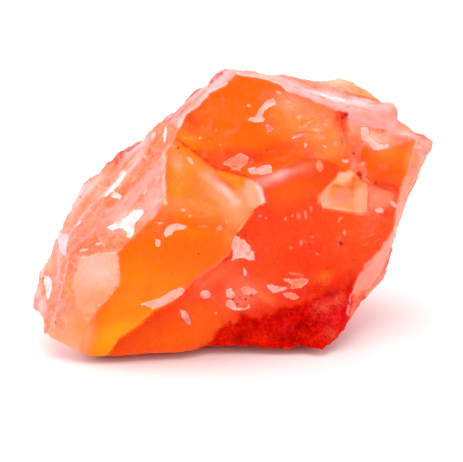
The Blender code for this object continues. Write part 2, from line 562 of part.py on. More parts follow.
def join_sides(shape, sides):
    """Both sides share the points of the rim. Ridges and rims of chips are marked as sharp.

    A face's material index tells which class it is in: calm, steep or hidden.
    """
    _, away = sight_axes()
    rim_verts = None
    for side, places in sides:
        verts = [None] * len(places)
        if rim_verts:
            for i, vert in zip(side.rim, rim_verts):
                verts[i] = vert
        for i, place in enumerate(places):
            if verts[i] is None:
                verts[i] = shape.verts.new(Vector((place.x + FOOT_X, place.y + FOOT_Y, place.z)) * MM)
        rim_verts = [verts[i] for i in side.rim]
        for face in side.faces:
            corners = [verts[i] for i in face]
            made = shape.faces.new(corners if side.facing < 0 else corners[::-1])
            made.normal_update()
            steep = abs(made.normal.dot(away)) < STEEP_FACING
            made.material_index = HIDDEN if side.facing > 0 else STEEP if steep else CALM
        for a, b in side.creases:
            edge = shape.edges.get((verts[a], verts[b]))
            if edge:
                edge.smooth = False


def even_out(shape):
    """Split the long edges of the steep and hidden faces, which then relax between their ridges."""
    for _ in range(EVEN_ROUNDS):
        long = [edge for edge in shape.edges if within(edge) and edge.calc_length() > longest(edge) * MM]
        bmesh.ops.subdivide_edges(shape, edges=long, cuts=1)
        bmesh.ops.triangulate(shape, faces=[face for face in shape.faces if len(face.verts) > 3])
        loose = [vert for vert in shape.verts if is_loose(vert)]
        for _ in range(EVEN_STEPS):
            means = [sum((edge.other_vert(vert).co for edge in vert.link_edges), Vector()) for vert in loose]
            for vert, mean in zip(loose, means):
                vert.co = vert.co.lerp(mean / len(vert.link_edges), EVEN_SHARE)
                vert.co.z = max(vert.co.z, BASE_CLEARANCE * MM)
    for face in shape.faces:
        face.material_index = CALM


def within(edge):
    """Whether both faces of an edge are steep or hidden."""
    return all(face.material_index != CALM for face in edge.link_faces)


def longest(edge):
    """The length in millimetres from which an edge is split."""
    hidden = any(face.material_index == HIDDEN for face in edge.link_faces)
    return HIDDEN_LONGEST if hidden else STEEP_LONGEST


def is_loose(vert):
    """Whether a point lies inside a steep or hidden stretch, away from every ridge and from the base."""
    if vert.co.z < BASE_CLEARANCE * MM / 2:
        return False
    return all(edge.smooth and within(edge) for edge in vert.link_edges)


def paint():
    skin = bpy.data.materials.new("carnelian")
    skin.use_nodes = True
    shader = skin.node_tree.nodes["Principled BSDF"]
    shader.inputs["Base Color"].default_value = STONE_COLOUR
    shader.inputs["Roughness"].default_value = STONE_ROUGHNESS
    shader.inputs["Metallic"].default_value = 0.0
    return skin


def main():
    for old in list(bpy.data.objects):
        bpy.data.objects.remove(old)
    rng = np.random.default_rng(RANDOM_SEED)
    rim = stepped([*SKYLINE, SKYLINE[0]], SEEN_STEP)[:-1]
    shape = bmesh.new()
    join_sides(shape, [make_seen(rim, rng), make_hidden(rim, rng)])
    even_out(shape)
    mesh = bpy.data.meshes.new("carnelian")
    shape.to_mesh(mesh)
    shape.free()
    mesh.materials.append(paint())
    stone = bpy.data.objects.new("carnelian", mesh)
    bpy.context.scene.collection.objects.link(stone)


main()
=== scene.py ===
"""Rough carnelian, dressed: its fine broken surface, its colours and a plain pale studio.

Lengths of the stone's details are in millimetres. A place on the side that faces the camera is
given as (across, rise), where the line of sight crosses an upright sheet through the stone.
"""

import math

import bpy
import numpy as np
from bpy.props import FloatProperty, FloatVectorProperty, IntProperty, PointerProperty
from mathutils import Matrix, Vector, kdtree, noise


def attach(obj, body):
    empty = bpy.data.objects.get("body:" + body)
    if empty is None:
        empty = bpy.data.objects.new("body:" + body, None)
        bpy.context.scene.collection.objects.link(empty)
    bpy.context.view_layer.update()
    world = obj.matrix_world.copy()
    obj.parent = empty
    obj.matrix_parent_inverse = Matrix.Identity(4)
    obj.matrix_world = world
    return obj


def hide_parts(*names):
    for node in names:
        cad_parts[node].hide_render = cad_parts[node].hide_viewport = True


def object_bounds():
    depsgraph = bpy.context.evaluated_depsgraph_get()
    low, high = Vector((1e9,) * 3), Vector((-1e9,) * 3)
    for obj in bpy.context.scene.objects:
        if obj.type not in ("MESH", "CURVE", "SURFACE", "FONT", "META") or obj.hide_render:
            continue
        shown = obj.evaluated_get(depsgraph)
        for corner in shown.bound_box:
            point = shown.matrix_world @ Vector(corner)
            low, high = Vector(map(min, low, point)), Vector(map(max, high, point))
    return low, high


bl_info = {
    "name": "Rough Carnelian",
    "version": (1, 0, 0),
    "blender": (4, 5, 0),
    "location": "3D View > Sidebar > Carnelian",
    "description": "Dresses the rough carnelian and sets up a plain studio around it",
    "category": "Object",
}

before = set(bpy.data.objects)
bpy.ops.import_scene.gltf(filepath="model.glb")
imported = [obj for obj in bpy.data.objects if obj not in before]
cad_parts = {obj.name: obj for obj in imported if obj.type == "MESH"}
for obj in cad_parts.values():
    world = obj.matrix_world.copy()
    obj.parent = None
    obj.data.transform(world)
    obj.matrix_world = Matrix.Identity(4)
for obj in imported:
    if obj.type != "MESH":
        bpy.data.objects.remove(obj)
CAD_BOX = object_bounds()

MM = 0.001
NODE = "carnelian"

# The sight sheet, as in the stone's own source.
SIGHT_TILT = math.radians(20.0)
SIGHT_DISTANCE = 500.0
SIGHT_RISE = 11.9
FOOT = Vector((0.0, 0.5, 0.0))

# Faces of the seen side, as corners (across, rise) along their ridges.
BULGE = [
    (-7.8, 24.0), (-5.0, 22.1), (-3.0, 20.7), (-2.3, 20.0), (0.6, 19.4), (2.5, 18.7), (3.7, 17.7),
    (4.3, 15.8), (3.0, 15.0), (1.0, 12.0), (0.1, 11.1), (0.0, 9.3), (-2.5, 7.1), (-5.3, 5.2),
    (-6.5, 4.0), (-8.2, 2.2), (-10.5, 1.3), (-12.8, -0.9), (-15.2, -2.5), (-16.9, -5.2),
    (-20.4, -4.6), (-19.8, -1.0), (-18.3, 1.0), (-16.8, 2.9), (-15.1, 5.0), (-15.4, 9.1),
    (-12.3, 12.0), (-9.0, 15.6), (-9.0, 19.5), (-8.8, 22.4),
]
WINDOW = [
    (-7.8, 24.0), (-7.1, 25.6), (-6.3, 27.5), (-4.6, 28.6), (-3.4, 30.2), (-1.0, 31.3), (0.5, 32.9),
    (3.6, 32.4), (6.4, 31.5), (7.2, 30.6), (9.8, 29.8), (12.8, 28.5), (15.1, 27.7), (15.4, 26.2),
    (15.6, 23.0), (15.8, 19.9), (14.9, 20.0), (13.0, 21.3), (10.2, 21.8), (8.0, 20.9),
    (5.4, 19.8), (2.5, 18.7), (0.6, 19.4), (-2.3, 20.0), (-5.0, 22.1),
]
FACE = [
    (2.5, 18.7), (5.4, 19.8), (8.0, 20.9), (10.2, 21.8), (13.0, 21.3), (14.9, 20.0), (17.0, 18.8),
    (20.3, 17.5), (22.4, 17.2), (21.9, 14.8), (21.5, 12.0), (19.9, 9.4), (18.0, 7.6), (16.5, 5.2),
    (12.0, 3.5), (10.2, 2.2), (8.0, 2.0), (5.0, 0.8), (0.0, 0.0), (-1.8, -1.4), (-3.5, -5.0),
    (-16.9, -5.2), (-15.2, -2.5), (-12.8, -0.9), (-10.5, 1.3), (-8.2, 2.2), (-6.5, 4.0),
    (-5.3, 5.2), (-2.5, 7.1), (0.0, 9.3), (0.1, 11.1), (1.0, 12.0), (3.0, 15.0), (4.3, 15.8),
    (3.7, 17.7),
]
FOOT_FACE = [
    (-3.5, -5.0), (-1.8, -1.4), (0.0, 0.0), (5.0, 0.8), (8.0, 2.0), (10.2, 2.2), (12.0, 3.5),
    (16.3, 5.2), (17.5, 2.0), (14.8, -2.0), (12.0, -5.0),
]
FLANK = [
    (-27.5, 1.0), (-26.5, 6.5), (-22.5, 16.0), (-17.5, 21.5), (-12.0, 25.5), (-9.7, 27.2),
    (-7.1, 25.6), (-7.8, 24.0), (-8.8, 22.4), (-9.0, 19.5), (-9.0, 15.6), (-12.3, 12.0),
    (-15.4, 9.1), (-20.3, 8.4), (-21.4, 5.3), (-21.0, 1.6), (-24.0, -1.2), (-26.0, -2.0),
]
HEXAGON = [(-20.3, 8.4), (-15.5, 9.1), (-15.1, 5.0), (-16.8, 2.9), (-18.3, 1.0), (-21.0, 1.6), (-21.4, 5.3)]
LEFT_FOOT = [(-21.0, 1.6), (-18.3, 1.0), (-19.8, -1.0), (-20.4, -4.8), (-25.5, -2.2), (-24.0, -1.2)]
TOP_BAND = [
    (0.5, 32.9), (-1.0, 34.5), (7.0, 33.6), (12.5, 32.2), (14.5, 30.8), (19.8, 29.2), (22.5, 28.6),
    (21.5, 28.0), (15.1, 27.7), (12.8, 28.5), (9.8, 29.8), (7.2, 30.6), (6.4, 31.5), (3.6, 32.4),
]
LEFT_BAND = [
    (-9.7, 27.2), (-2.0, 34.5), (0.5, 32.9), (-1.0, 31.3), (-3.4, 30.2), (-4.6, 28.6), (-6.3, 27.5),
    (-7.1, 25.6),
]
KNOB = [(12.0, 32.0), (12.5, 33.5), (17.0, 33.0), (20.5, 29.6), (19.8, 29.0), (14.6, 30.2)]
SLAB = [(15.1, 27.7), (22.5, 28.4), (22.4, 26.4), (21.4, 25.4), (17.9, 25.9), (15.4, 26.2)]
SHOULDER = [
    (15.4, 26.2), (17.9, 25.9), (21.4, 25.4), (24.3, 26.5), (27.8, 24.5), (24.4, 24.1), (22.4, 17.2),
    (20.3, 17.5), (17.0, 18.8), (15.8, 19.9), (15.6, 23.0),
]
PANE = [
    (17.0, 22.0), (17.6, 23.4), (19.0, 22.7), (20.8, 23.0), (24.4, 24.1), (23.4, 20.5), (22.4, 17.2),
    (20.3, 17.5), (18.9, 18.0), (18.0, 19.2),
]
CHIP = [
    (15.8, 19.9), (14.9, 19.8), (13.2, 18.3), (11.6, 16.3), (12.0, 14.9), (15.0, 14.6), (18.0, 14.2),
    (17.9, 17.5), (17.0, 18.8),
]
RIGHT_RIM = [
    (24.4, 24.1), (27.8, 24.5), (27.2, 21.0), (24.2, 15.8), (21.8, 6.8), (18.0, 2.2), (14.0, -4.0),
    (14.7, -0.8), (15.2, 0.8), (15.5, 3.0), (16.5, 5.2), (18.0, 7.6), (19.9, 9.4), (21.5, 12.0),
    (21.9, 14.8), (22.4, 17.2),
]
REGIONS = {
    "bulge": BULGE, "window": WINDOW, "face": FACE, "foot": FOOT_FACE, "flank": FLANK, "hexagon": HEXAGON,
    "left foot": LEFT_FOOT, "top": TOP_BAND, "left band": LEFT_BAND, "knob": KNOB, "slab": SLAB,
    "shoulder": SHOULDER, "pane": PANE, "chip": CHIP, "rim": RIGHT_RIM,
}
# Painted over the faces that they lie in. The other faces share every point that is seen.
LAID_OVER = ("foot", "knob", "pane", "chip")
# Softness of the borders between the shared faces, in mm.
BORDER_FADE = 0.12


def tone(red, green, blue):
    """A screen colour from 0 to 255 as linear light."""
    parts = [value / 255 for value in (red, green, blue)]
    return tuple(part / 12.92 if part <= 0.04045 else ((part + 0.055) / 1.055) ** 2.4 for part in parts)


def colour_property(name, red, green, blue, description):
    return FloatVectorProperty(
        name=name, description=description, subtype="COLOR", size=3, min=0, max=1,
        default=tone(red, green, blue),
    )


def number_property(name, default, description):
    return FloatProperty(name=name, description=description, default=default)


def length_property(name, default, description):
    return FloatProperty(name=name, description=description, unit="LENGTH", default=default)


class CarnelianStone(bpy.types.PropertyGroup):
    refine: IntProperty(
        name="Refinement", description="How often each triangle is split in four", default=2,
    )
    sharp_from: FloatProperty(
        name="Sharp from", description="Ridges that turn by more than this stay sharp", subtype="ANGLE",
        default=math.radians(19),
    )
    wave: number_property("Waves", 0.16, "Height of the broad unevenness, in mm")
    grain: number_property("Grain", 0.05, "Height of the fine unevenness, in mm")
    hackle: number_property("Hackle", 0.30, "Height of the small broken facets, in mm")
    nick: number_property("Nicks", 0.20, "Depth of the nicks along the ridges, in mm")
    scar: number_property("Scars", 0.10, "Depth of the bruised flakes, in mm")
    # Gold at the bulge's thin foot is partly painted glow, light shining through the thin edge.
    gold: colour_property("Gold", 252, 160, 8, "Yellowest part of the bulge, at its foot")
    amber: colour_property("Amber", 252, 130, 3, "Left half of the bulge")
    orange: colour_property("Orange", 252, 100, 2, "Body of the bulge, the window and the pane")
    apricot: colour_property("Apricot", 252, 144, 62, "Hazy orange")
    ember: colour_property("Ember", 252, 68, 16, "Body of the middle face")
    scarlet: colour_property("Scarlet", 248, 44, 14, "Redder parts of the middle face")
    blood: colour_property("Blood red", 218, 5, 3, "Dark foot of the middle face")
    crimson: colour_property("Crimson", 238, 34, 42, "Right end of the dark foot")
    # Where coral, salmon, rose, peach, milk and lilac cover the pale faces, they are partly cloudy skin and
    # partly painted sheen, the light that these faces mirror.
    coral: colour_property("Coral", 252, 126, 86, "Light veil over orange")
    salmon: colour_property("Salmon", 252, 146, 116, "Rim at the right and hazy patches")
    # The rose band below the lip is painted sheen.
    rose: colour_property("Rose", 250, 158, 152, "Cloudy bands on the top and below the lip")
    peach: colour_property("Peach", 252, 168, 130, "Pale hexagon and the left foot")
    cream: colour_property("Cream", 252, 190, 152, "Pale patches on the crest of the bulge and on the chip")
    # Milk also makes painted highlights: on the bulge's crest, below the lip, on the hexagon and the rim, and
    # partly on the ridges.
    milk: colour_property("Milk", 252, 200, 188, "Cloudy streaks and ridges")
    lilac: colour_property("Lilac", 250, 202, 208, "Cool cloudy streaks")
    mauve: colour_property("Mauve", 196, 62, 84, "Thin shadows beside the ridges and the flakes")
    flake: colour_property("Flakes", 255, 234, 230, "Bruised, opaque flakes")
    deep: colour_property("Deep", 148, 4, 0, "Specks, cracks and pits")


class CarnelianStudio(bpy.types.PropertyGroup):
    tilt: FloatProperty(
        name="Camera tilt", description="Angle of the view above the table", subtype="ANGLE",
        default=SIGHT_TILT,
    )
    distance: length_property("Camera distance", 0.5, "From the camera to the sheet")
    frame_width: length_property("Frame width", 0.06173, "Width seen at the sheet")
    floor_size: length_property("Floor size", 6.0, "Side of the floor")
    floor: colour_property("Floor", 250, 250, 250, "Pale floor")
    world: number_property("Room light", 0.96, "Strength of the light from all around")
    mirrored: number_property("Mirrored room", 0.10, "Strength of the room in reflections")
    key: number_property("Left light", 1.1, "Brightness of the large light on the left")
    back: number_property("Back light", 1.3, "Brightness of the large light behind")
    side: number_property("Right light", 1.8, "Brightness of the light on the right")
    top: number_property("Top light", 1.6, "Brightness of the light overhead")


# Geometry of the surface


def on_sheet(points):
    """Across and rise of each point in millimetres, one row each."""
    up = np.array((0, math.sin(SIGHT_TILT), math.cos(SIGHT_TILT)))
    away = np.array((0, math.cos(SIGHT_TILT), -math.sin(SIGHT_TILT)))
    local = points - np.array(FOOT)
    spread = 1 + local @ away / SIGHT_DISTANCE
    return np.stack([local[:, 0] / spread, SIGHT_RISE + (local @ up - SIGHT_RISE) / spread], axis=1)


def read_stone():
    """The points in millimetres and the triangles of the stone's node."""
    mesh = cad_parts[NODE].data
    points = np.zeros(len(mesh.vertices) * 3)
    mesh.vertices.foreach_get("co", points)
    points = points.reshape(-1, 3) / MM
    mesh.calc_loop_triangles()
    corners = np.zeros(len(mesh.loop_triangles) * 3, dtype=np.int64)
    mesh.loop_triangles.foreach_get("vertices", corners)
    _, first, same = np.unique(np.round(points, 3), axis=0, return_index=True, return_inverse=True)
    return points[first], same.ravel()[corners].reshape(-1, 3)


def triangle_normals(points, faces):
    a, b, c = (points[faces[:, i]] for i in range(3))
    normals = np.cross(b - a, c - a)
    return normals / np.maximum(np.linalg.norm(normals, axis=1, keepdims=True), 1e-12)


def point_normals(points, faces):
    a, b, c = (points[faces[:, i]] for i in range(3))
    normals = np.zeros_like(points)
    for i in range(3):
        np.add.at(normals, faces[:, i], np.cross(b - a, c - a))
    return normals / np.maximum(np.linalg.norm(normals, axis=1, keepdims=True), 1e-12)


class Surface:
    """Triangles with their edges, the two points opposite each edge, and which edges are ridges."""

    def __init__(self, points, faces):
        self.points = points
        self.faces = faces
        self.sharp = None
        self.find_edges()

    def find_edges(self):
        faces = self.faces
        sides = np.concatenate([faces[:, [0, 1]], faces[:, [1, 2]], faces[:, [2, 0]]])
        across = np.concatenate([faces[:, 2], faces[:, 0], faces[:, 1]])
        owner = np.tile(np.arange(len(faces)), 3)
        key = np.sort(sides, axis=1)
        self.edges, which = np.unique(key, axis=0, return_inverse=True)
        which = which.ravel()
        self.face_edges = which.reshape(3, -1).T
        order = np.argsort(which, kind="stable")
        self.opposite = across[order].reshape(-1, 2)
        self.owners = owner[order].reshape(-1, 2)

    def turns(self):
        """How much the surface turns at each edge, and whether it bulges there."""
        normals = triangle_normals(self.points, self.faces)
        first, second = normals[self.owners[:, 0]], normals[self.owners[:, 1]]
        turn = np.arccos(np.clip((first * second).sum(axis=1), -1, 1))
        reach = self.points[self.opposite[:, 1]] - self.points[self.edges[:, 0]]
        return turn, (first * reach).sum(axis=1) < 0

    def refined(self):
        """Every triangle in four, rounded between the ridges."""
        points, edges, count = self.points, self.edges, len(self.points)
        ends = points[edges[:, 0]] + points[edges[:, 1]]
        wings = points[self.opposite[:, 0]] + points[self.opposite[:, 1]]
        middle = np.where(self.sharp[:, None], ends / 2, ends * 3 / 8 + wings / 8)

        around, ridges = np.zeros_like(points), np.zeros_like(points)
        degree, ridge_count = np.zeros(count), np.zeros(count)
        for here, there in ((0, 1), (1, 0)):
            np.add.at(around, edges[:, here], points[edges[:, there]])
            np.add.at(degree, edges[:, here], 1)
            np.add.at(ridges, edges[self.sharp, here], points[edges[self.sharp, there]])
            np.add.at(ridge_count, edges[self.sharp, here], 1)
        pull = (5 / 8 - (3 / 8 + np.cos(math.tau / degree) / 4) ** 2) / degree
        smooth = points * (1 - degree * pull)[:, None] + around * pull[:, None]
        moved = np.where((ridge_count < 2)[:, None], smooth, points)
        moved = np.where((ridge_count == 2)[:, None], points * 0.75 + ridges / 8, moved)

        new = self.face_edges + count
        a, b, c = self.faces.T
        ab, bc, ca = new.T
        split = [(a, ab, ca), (ab, b, bc), (ca, bc, c), (ab, bc, ca)]
        quarters = np.concatenate([np.stack(part, axis=1) for part in split])
        finer = Surface(np.vstack([moved, middle]), quarters)
        ridge = np.flatnonzero(self.sharp)
        span = len(finer.points)
        halves = np.concatenate([edges[ridge, end] * span + count + ridge for end in (0, 1)])
        finer.sharp = np.isin(finer.edges[:, 0] * span + finer.edges[:, 1], halves)
        return finer


def line_distance(flat, line):
    """Distance from each place to a line of straight runs."""
    nearest = np.full(len(flat), np.inf)
    for start, end in zip(np.array(line[:-1]), np.array(line[1:])):
        side = end - start
        part = np.clip(((flat - start) @ side) / (side @ side), 0, 1)
        nearest = np.minimum(nearest, np.linalg.norm(flat - start - part[:, None] * side, axis=1))
    return nearest


def outline_depth(flat, corners):
    """How far each place lies inside an outline. It is negative outside."""
    crossings = np.zeros(len(flat), dtype=int)
    for start, end in zip(corners, [*corners[1:], corners[0]]):
        if start[1] == end[1]:
            continue
        spans = (start[1] > flat[:, 1]) != (end[1] > flat[:, 1])
        part = (flat[:, 1] - start[1]) / (end[1] - start[1])
        crossings += spans & (flat[:, 0] < start[0] + (end[0] - start[0]) * part)
    nearest = line_distance(flat, [*corners, corners[0]])
    return np.where(crossings % 2 == 1, nearest, -nearest)


def smooth_step(low, high, value):
    part = np.clip((value - low) / (high - low), 0, 1)
    return part * part * (3 - 2 * part)


def oval_place(flat, across, rise, half_long, half_high, turn):
    """Where each place lies along and over an oval, in parts of its half length and half height."""
    angle = math.radians(turn)
    gap = flat - (across, rise)
    along = (gap[:, 0] * math.cos(angle) + gap[:, 1] * math.sin(angle)) / half_long
    over = (gap[:, 1] * math.cos(angle) - gap[:, 0] * math.sin(angle)) / half_high
    return along, over


def spot(flat, *oval):
    """A soft oval spot, from 1 in its middle to 0."""
    along, over = oval_place(flat, *oval)
    return np.exp(-along ** 2 - over ** 2)


def oval_depth(flat, across, rise, half_long, half_high, turn):
    """About how far each place lies inside an oval. It is negative outside."""
    along, over = oval_place(flat, across, rise, half_long, half_high, turn)
    return (1 - np.hypot(along, over)) * min(half_long, half_high)


# How far the seeds of the noises and of the facets lie apart.
SEED_STEPS = (7.3, 3.1, 5.7)
FACET_SEED_STEPS = (4.7, 2.3, 9.1)
# How fast the tilt changes from facet to facet.
TILT_SCALE = 5.3


def waves(points, per_mm, seed, detail):
    """Smooth noise from about -1 to 1 at each point."""
    shift = Vector([seed * step for step in SEED_STEPS])
    return np.array([noise.fractal(Vector(point) * per_mm + shift, 1.0, 2.0, detail) for point in points])


def wobble(points, reach, per_mm, seed, detail):
    """A shift of each point's place on the sheet, up to about this reach in mm."""
    parts = [waves(points, per_mm, seed + i, detail) for i in range(2)]
    return reach * np.stack(parts, axis=1)


# Where the noise is read for the three parts of a facet's tilt.
TILT_OFFSETS = (Vector((9.7, -0.8, -7.9)), Vector((0.4, 0.7, 0.1)), Vector((6.7, 0.9, -2.6)))


def facets(points, size, seed):
    """Small flat facets: each cell tilts its own way. Height about -0.5 to 0.5."""
    shift = Vector([seed * step for step in FACET_SEED_STEPS])
    height = np.zeros(len(points))
    for i, point in enumerate(points):
        place = Vector(point) / size + shift
        centre = noise.voronoi(place)[1][0]
        tilt = Vector([noise.noise(centre * TILT_SCALE + offset) for offset in TILT_OFFSETS])
        height[i] = (place - centre).dot(tilt)
    return height


def ridge_distance(points, edges):
    """Distance in millimetres from each point to the nearest of these edges' points."""
    ends = np.unique(edges)
    tree = kdtree.KDTree(len(ends))
    for i in ends:
        tree.insert(points[i], int(i))
    tree.balance()
    return np.array([tree.find(point)[2] for point in points])


TINTS = (
    "gold", "amber", "orange", "apricot", "ember", "scarlet", "blood", "crimson", "coral", "salmon", "rose",
    "peach", "cream", "milk", "lilac", "mauve", "flake", "deep",
)
# The pale tints of the flank, the hexagon, the top and left bands, the slab and the rim are partly cloudy
# skin and partly painted sheen, the light these faces mirror.
FACE_TINTS = {
    "flank": "coral", "face": "ember", "window": "orange", "bulge": "orange", "foot": "blood",
    "hexagon": "peach", "left foot": "peach", "top": "rose", "left band": "rose", "knob": "apricot",
    "slab": "rose", "shoulder": "coral", "pane": "orange", "rim": "salmon", "chip": "apricot",
}
# Faces with bruised, cloudy skin that also carries painted sheen, the light that these faces mirror, and how
# much of both they have.
CLOUD_AND_SHEEN = {
    "flank": 1.0, "left band": 1.0, "top": 1.0, "slab": 0.5, "shoulder": 0.4, "rim": 0.7, "left foot": 0.2,
}
# Mottled parts of the clear faces: (face, across, rise, half length, half height, turn, amount).
HAZES = [
    ("window", 10.6, 26.0, 4.2, 3.2, -25, 0.8), ("window", -5.6, 25.6, 2.0, 1.5, 40, 0.4),
    ("bulge", -4.0, 16.0, 6.5, 2.6, -15, 0.4), ("bulge", -10.0, 12.8, 3.0, 1.2, 20, 0.5),
    ("face", 1.0, 3.2, 4.5, 2.0, 0, 0.6), ("face", 18.0, 13.5, 2.6, 4.5, -20, 0.4),
    ("chip", 14.2, 16.4, 1.8, 1.5, 0, 0.4),
]
# Faces turned away from the camera: (colour, how cloudy, the way that the face looks).
HIDDEN_FACES = [
    ("coral", 0.7, (-0.9, 0.5, 0.2)), ("orange", 0.6, (-0.6, 0.6, 0.7)), ("amber", 0.1, (-0.6, 0.8, -0.2)),
    ("orange", 0.1, (-0.3, 1.0, 0.1)), ("ember", 0.1, (0.1, 1.0, -0.1)), ("coral", 0.6, (0.0, 0.6, 0.9)),
    ("scarlet", 0.1, (0.3, 0.9, -0.5)), ("orange", 0.4, (0.4, 0.9, 0.4)), ("orange", 0.1, (0.7, 0.8, 0.0)),
    ("blood", 0.0, (0.8, 0.2, -0.6)), ("crimson", 0.2, (0.9, 0.4, -0.2)), ("coral", 0.6, (1.0, 0.3, 0.3)),
    ("salmon", 0.8, (0.6, 0.4, 0.8)), ("rose", 0.7, (-0.8, -0.3, -0.4)), ("rose", 0.7, (-0.7, -0.2, -0.8)),
    ("ember", 0.1, (0.0, 0.2, -1.0)),
]
# The way that the streaks of the cloudy skin run.
STREAK_WAY = (0.5, 0.35, 0.8)
# Soft changes of colour on the side turned away: (colour, x, height, half length, half height, turn, amount).
BACK_SPOTS = [
    ("scarlet", 9.0, 13.0, 7.0, 4.0, 20, 0.7), ("ember", -1.0, 18.0, 8.0, 3.5, -25, 0.7),
    ("ember", 5.0, 25.0, 6.0, 2.0, -15, 0.6), ("amber", -4.0, 6.0, 6.0, 3.5, 10, 0.7),
    ("gold", -11.0, 5.0, 4.0, 2.5, 15, 0.6), ("amber", 12.0, 20.0, 3.5, 2.0, 0, 0.6),
    ("milk", 3.0, 31.5, 7.0, 1.2, -8, 0.6), ("rose", 10.0, 28.5, 5.0, 1.5, -12, 0.6),
    ("cream", -9.0, 22.0, 4.0, 1.2, 40, 0.5), ("coral", -16.0, 13.0, 3.0, 4.0, -30, 0.6),
    ("crimson", 17.0, 8.0, 3.0, 4.0, 0, 0.6), ("apricot", 4.0, 9.0, 3.0, 1.5, -20, 0.6),
]

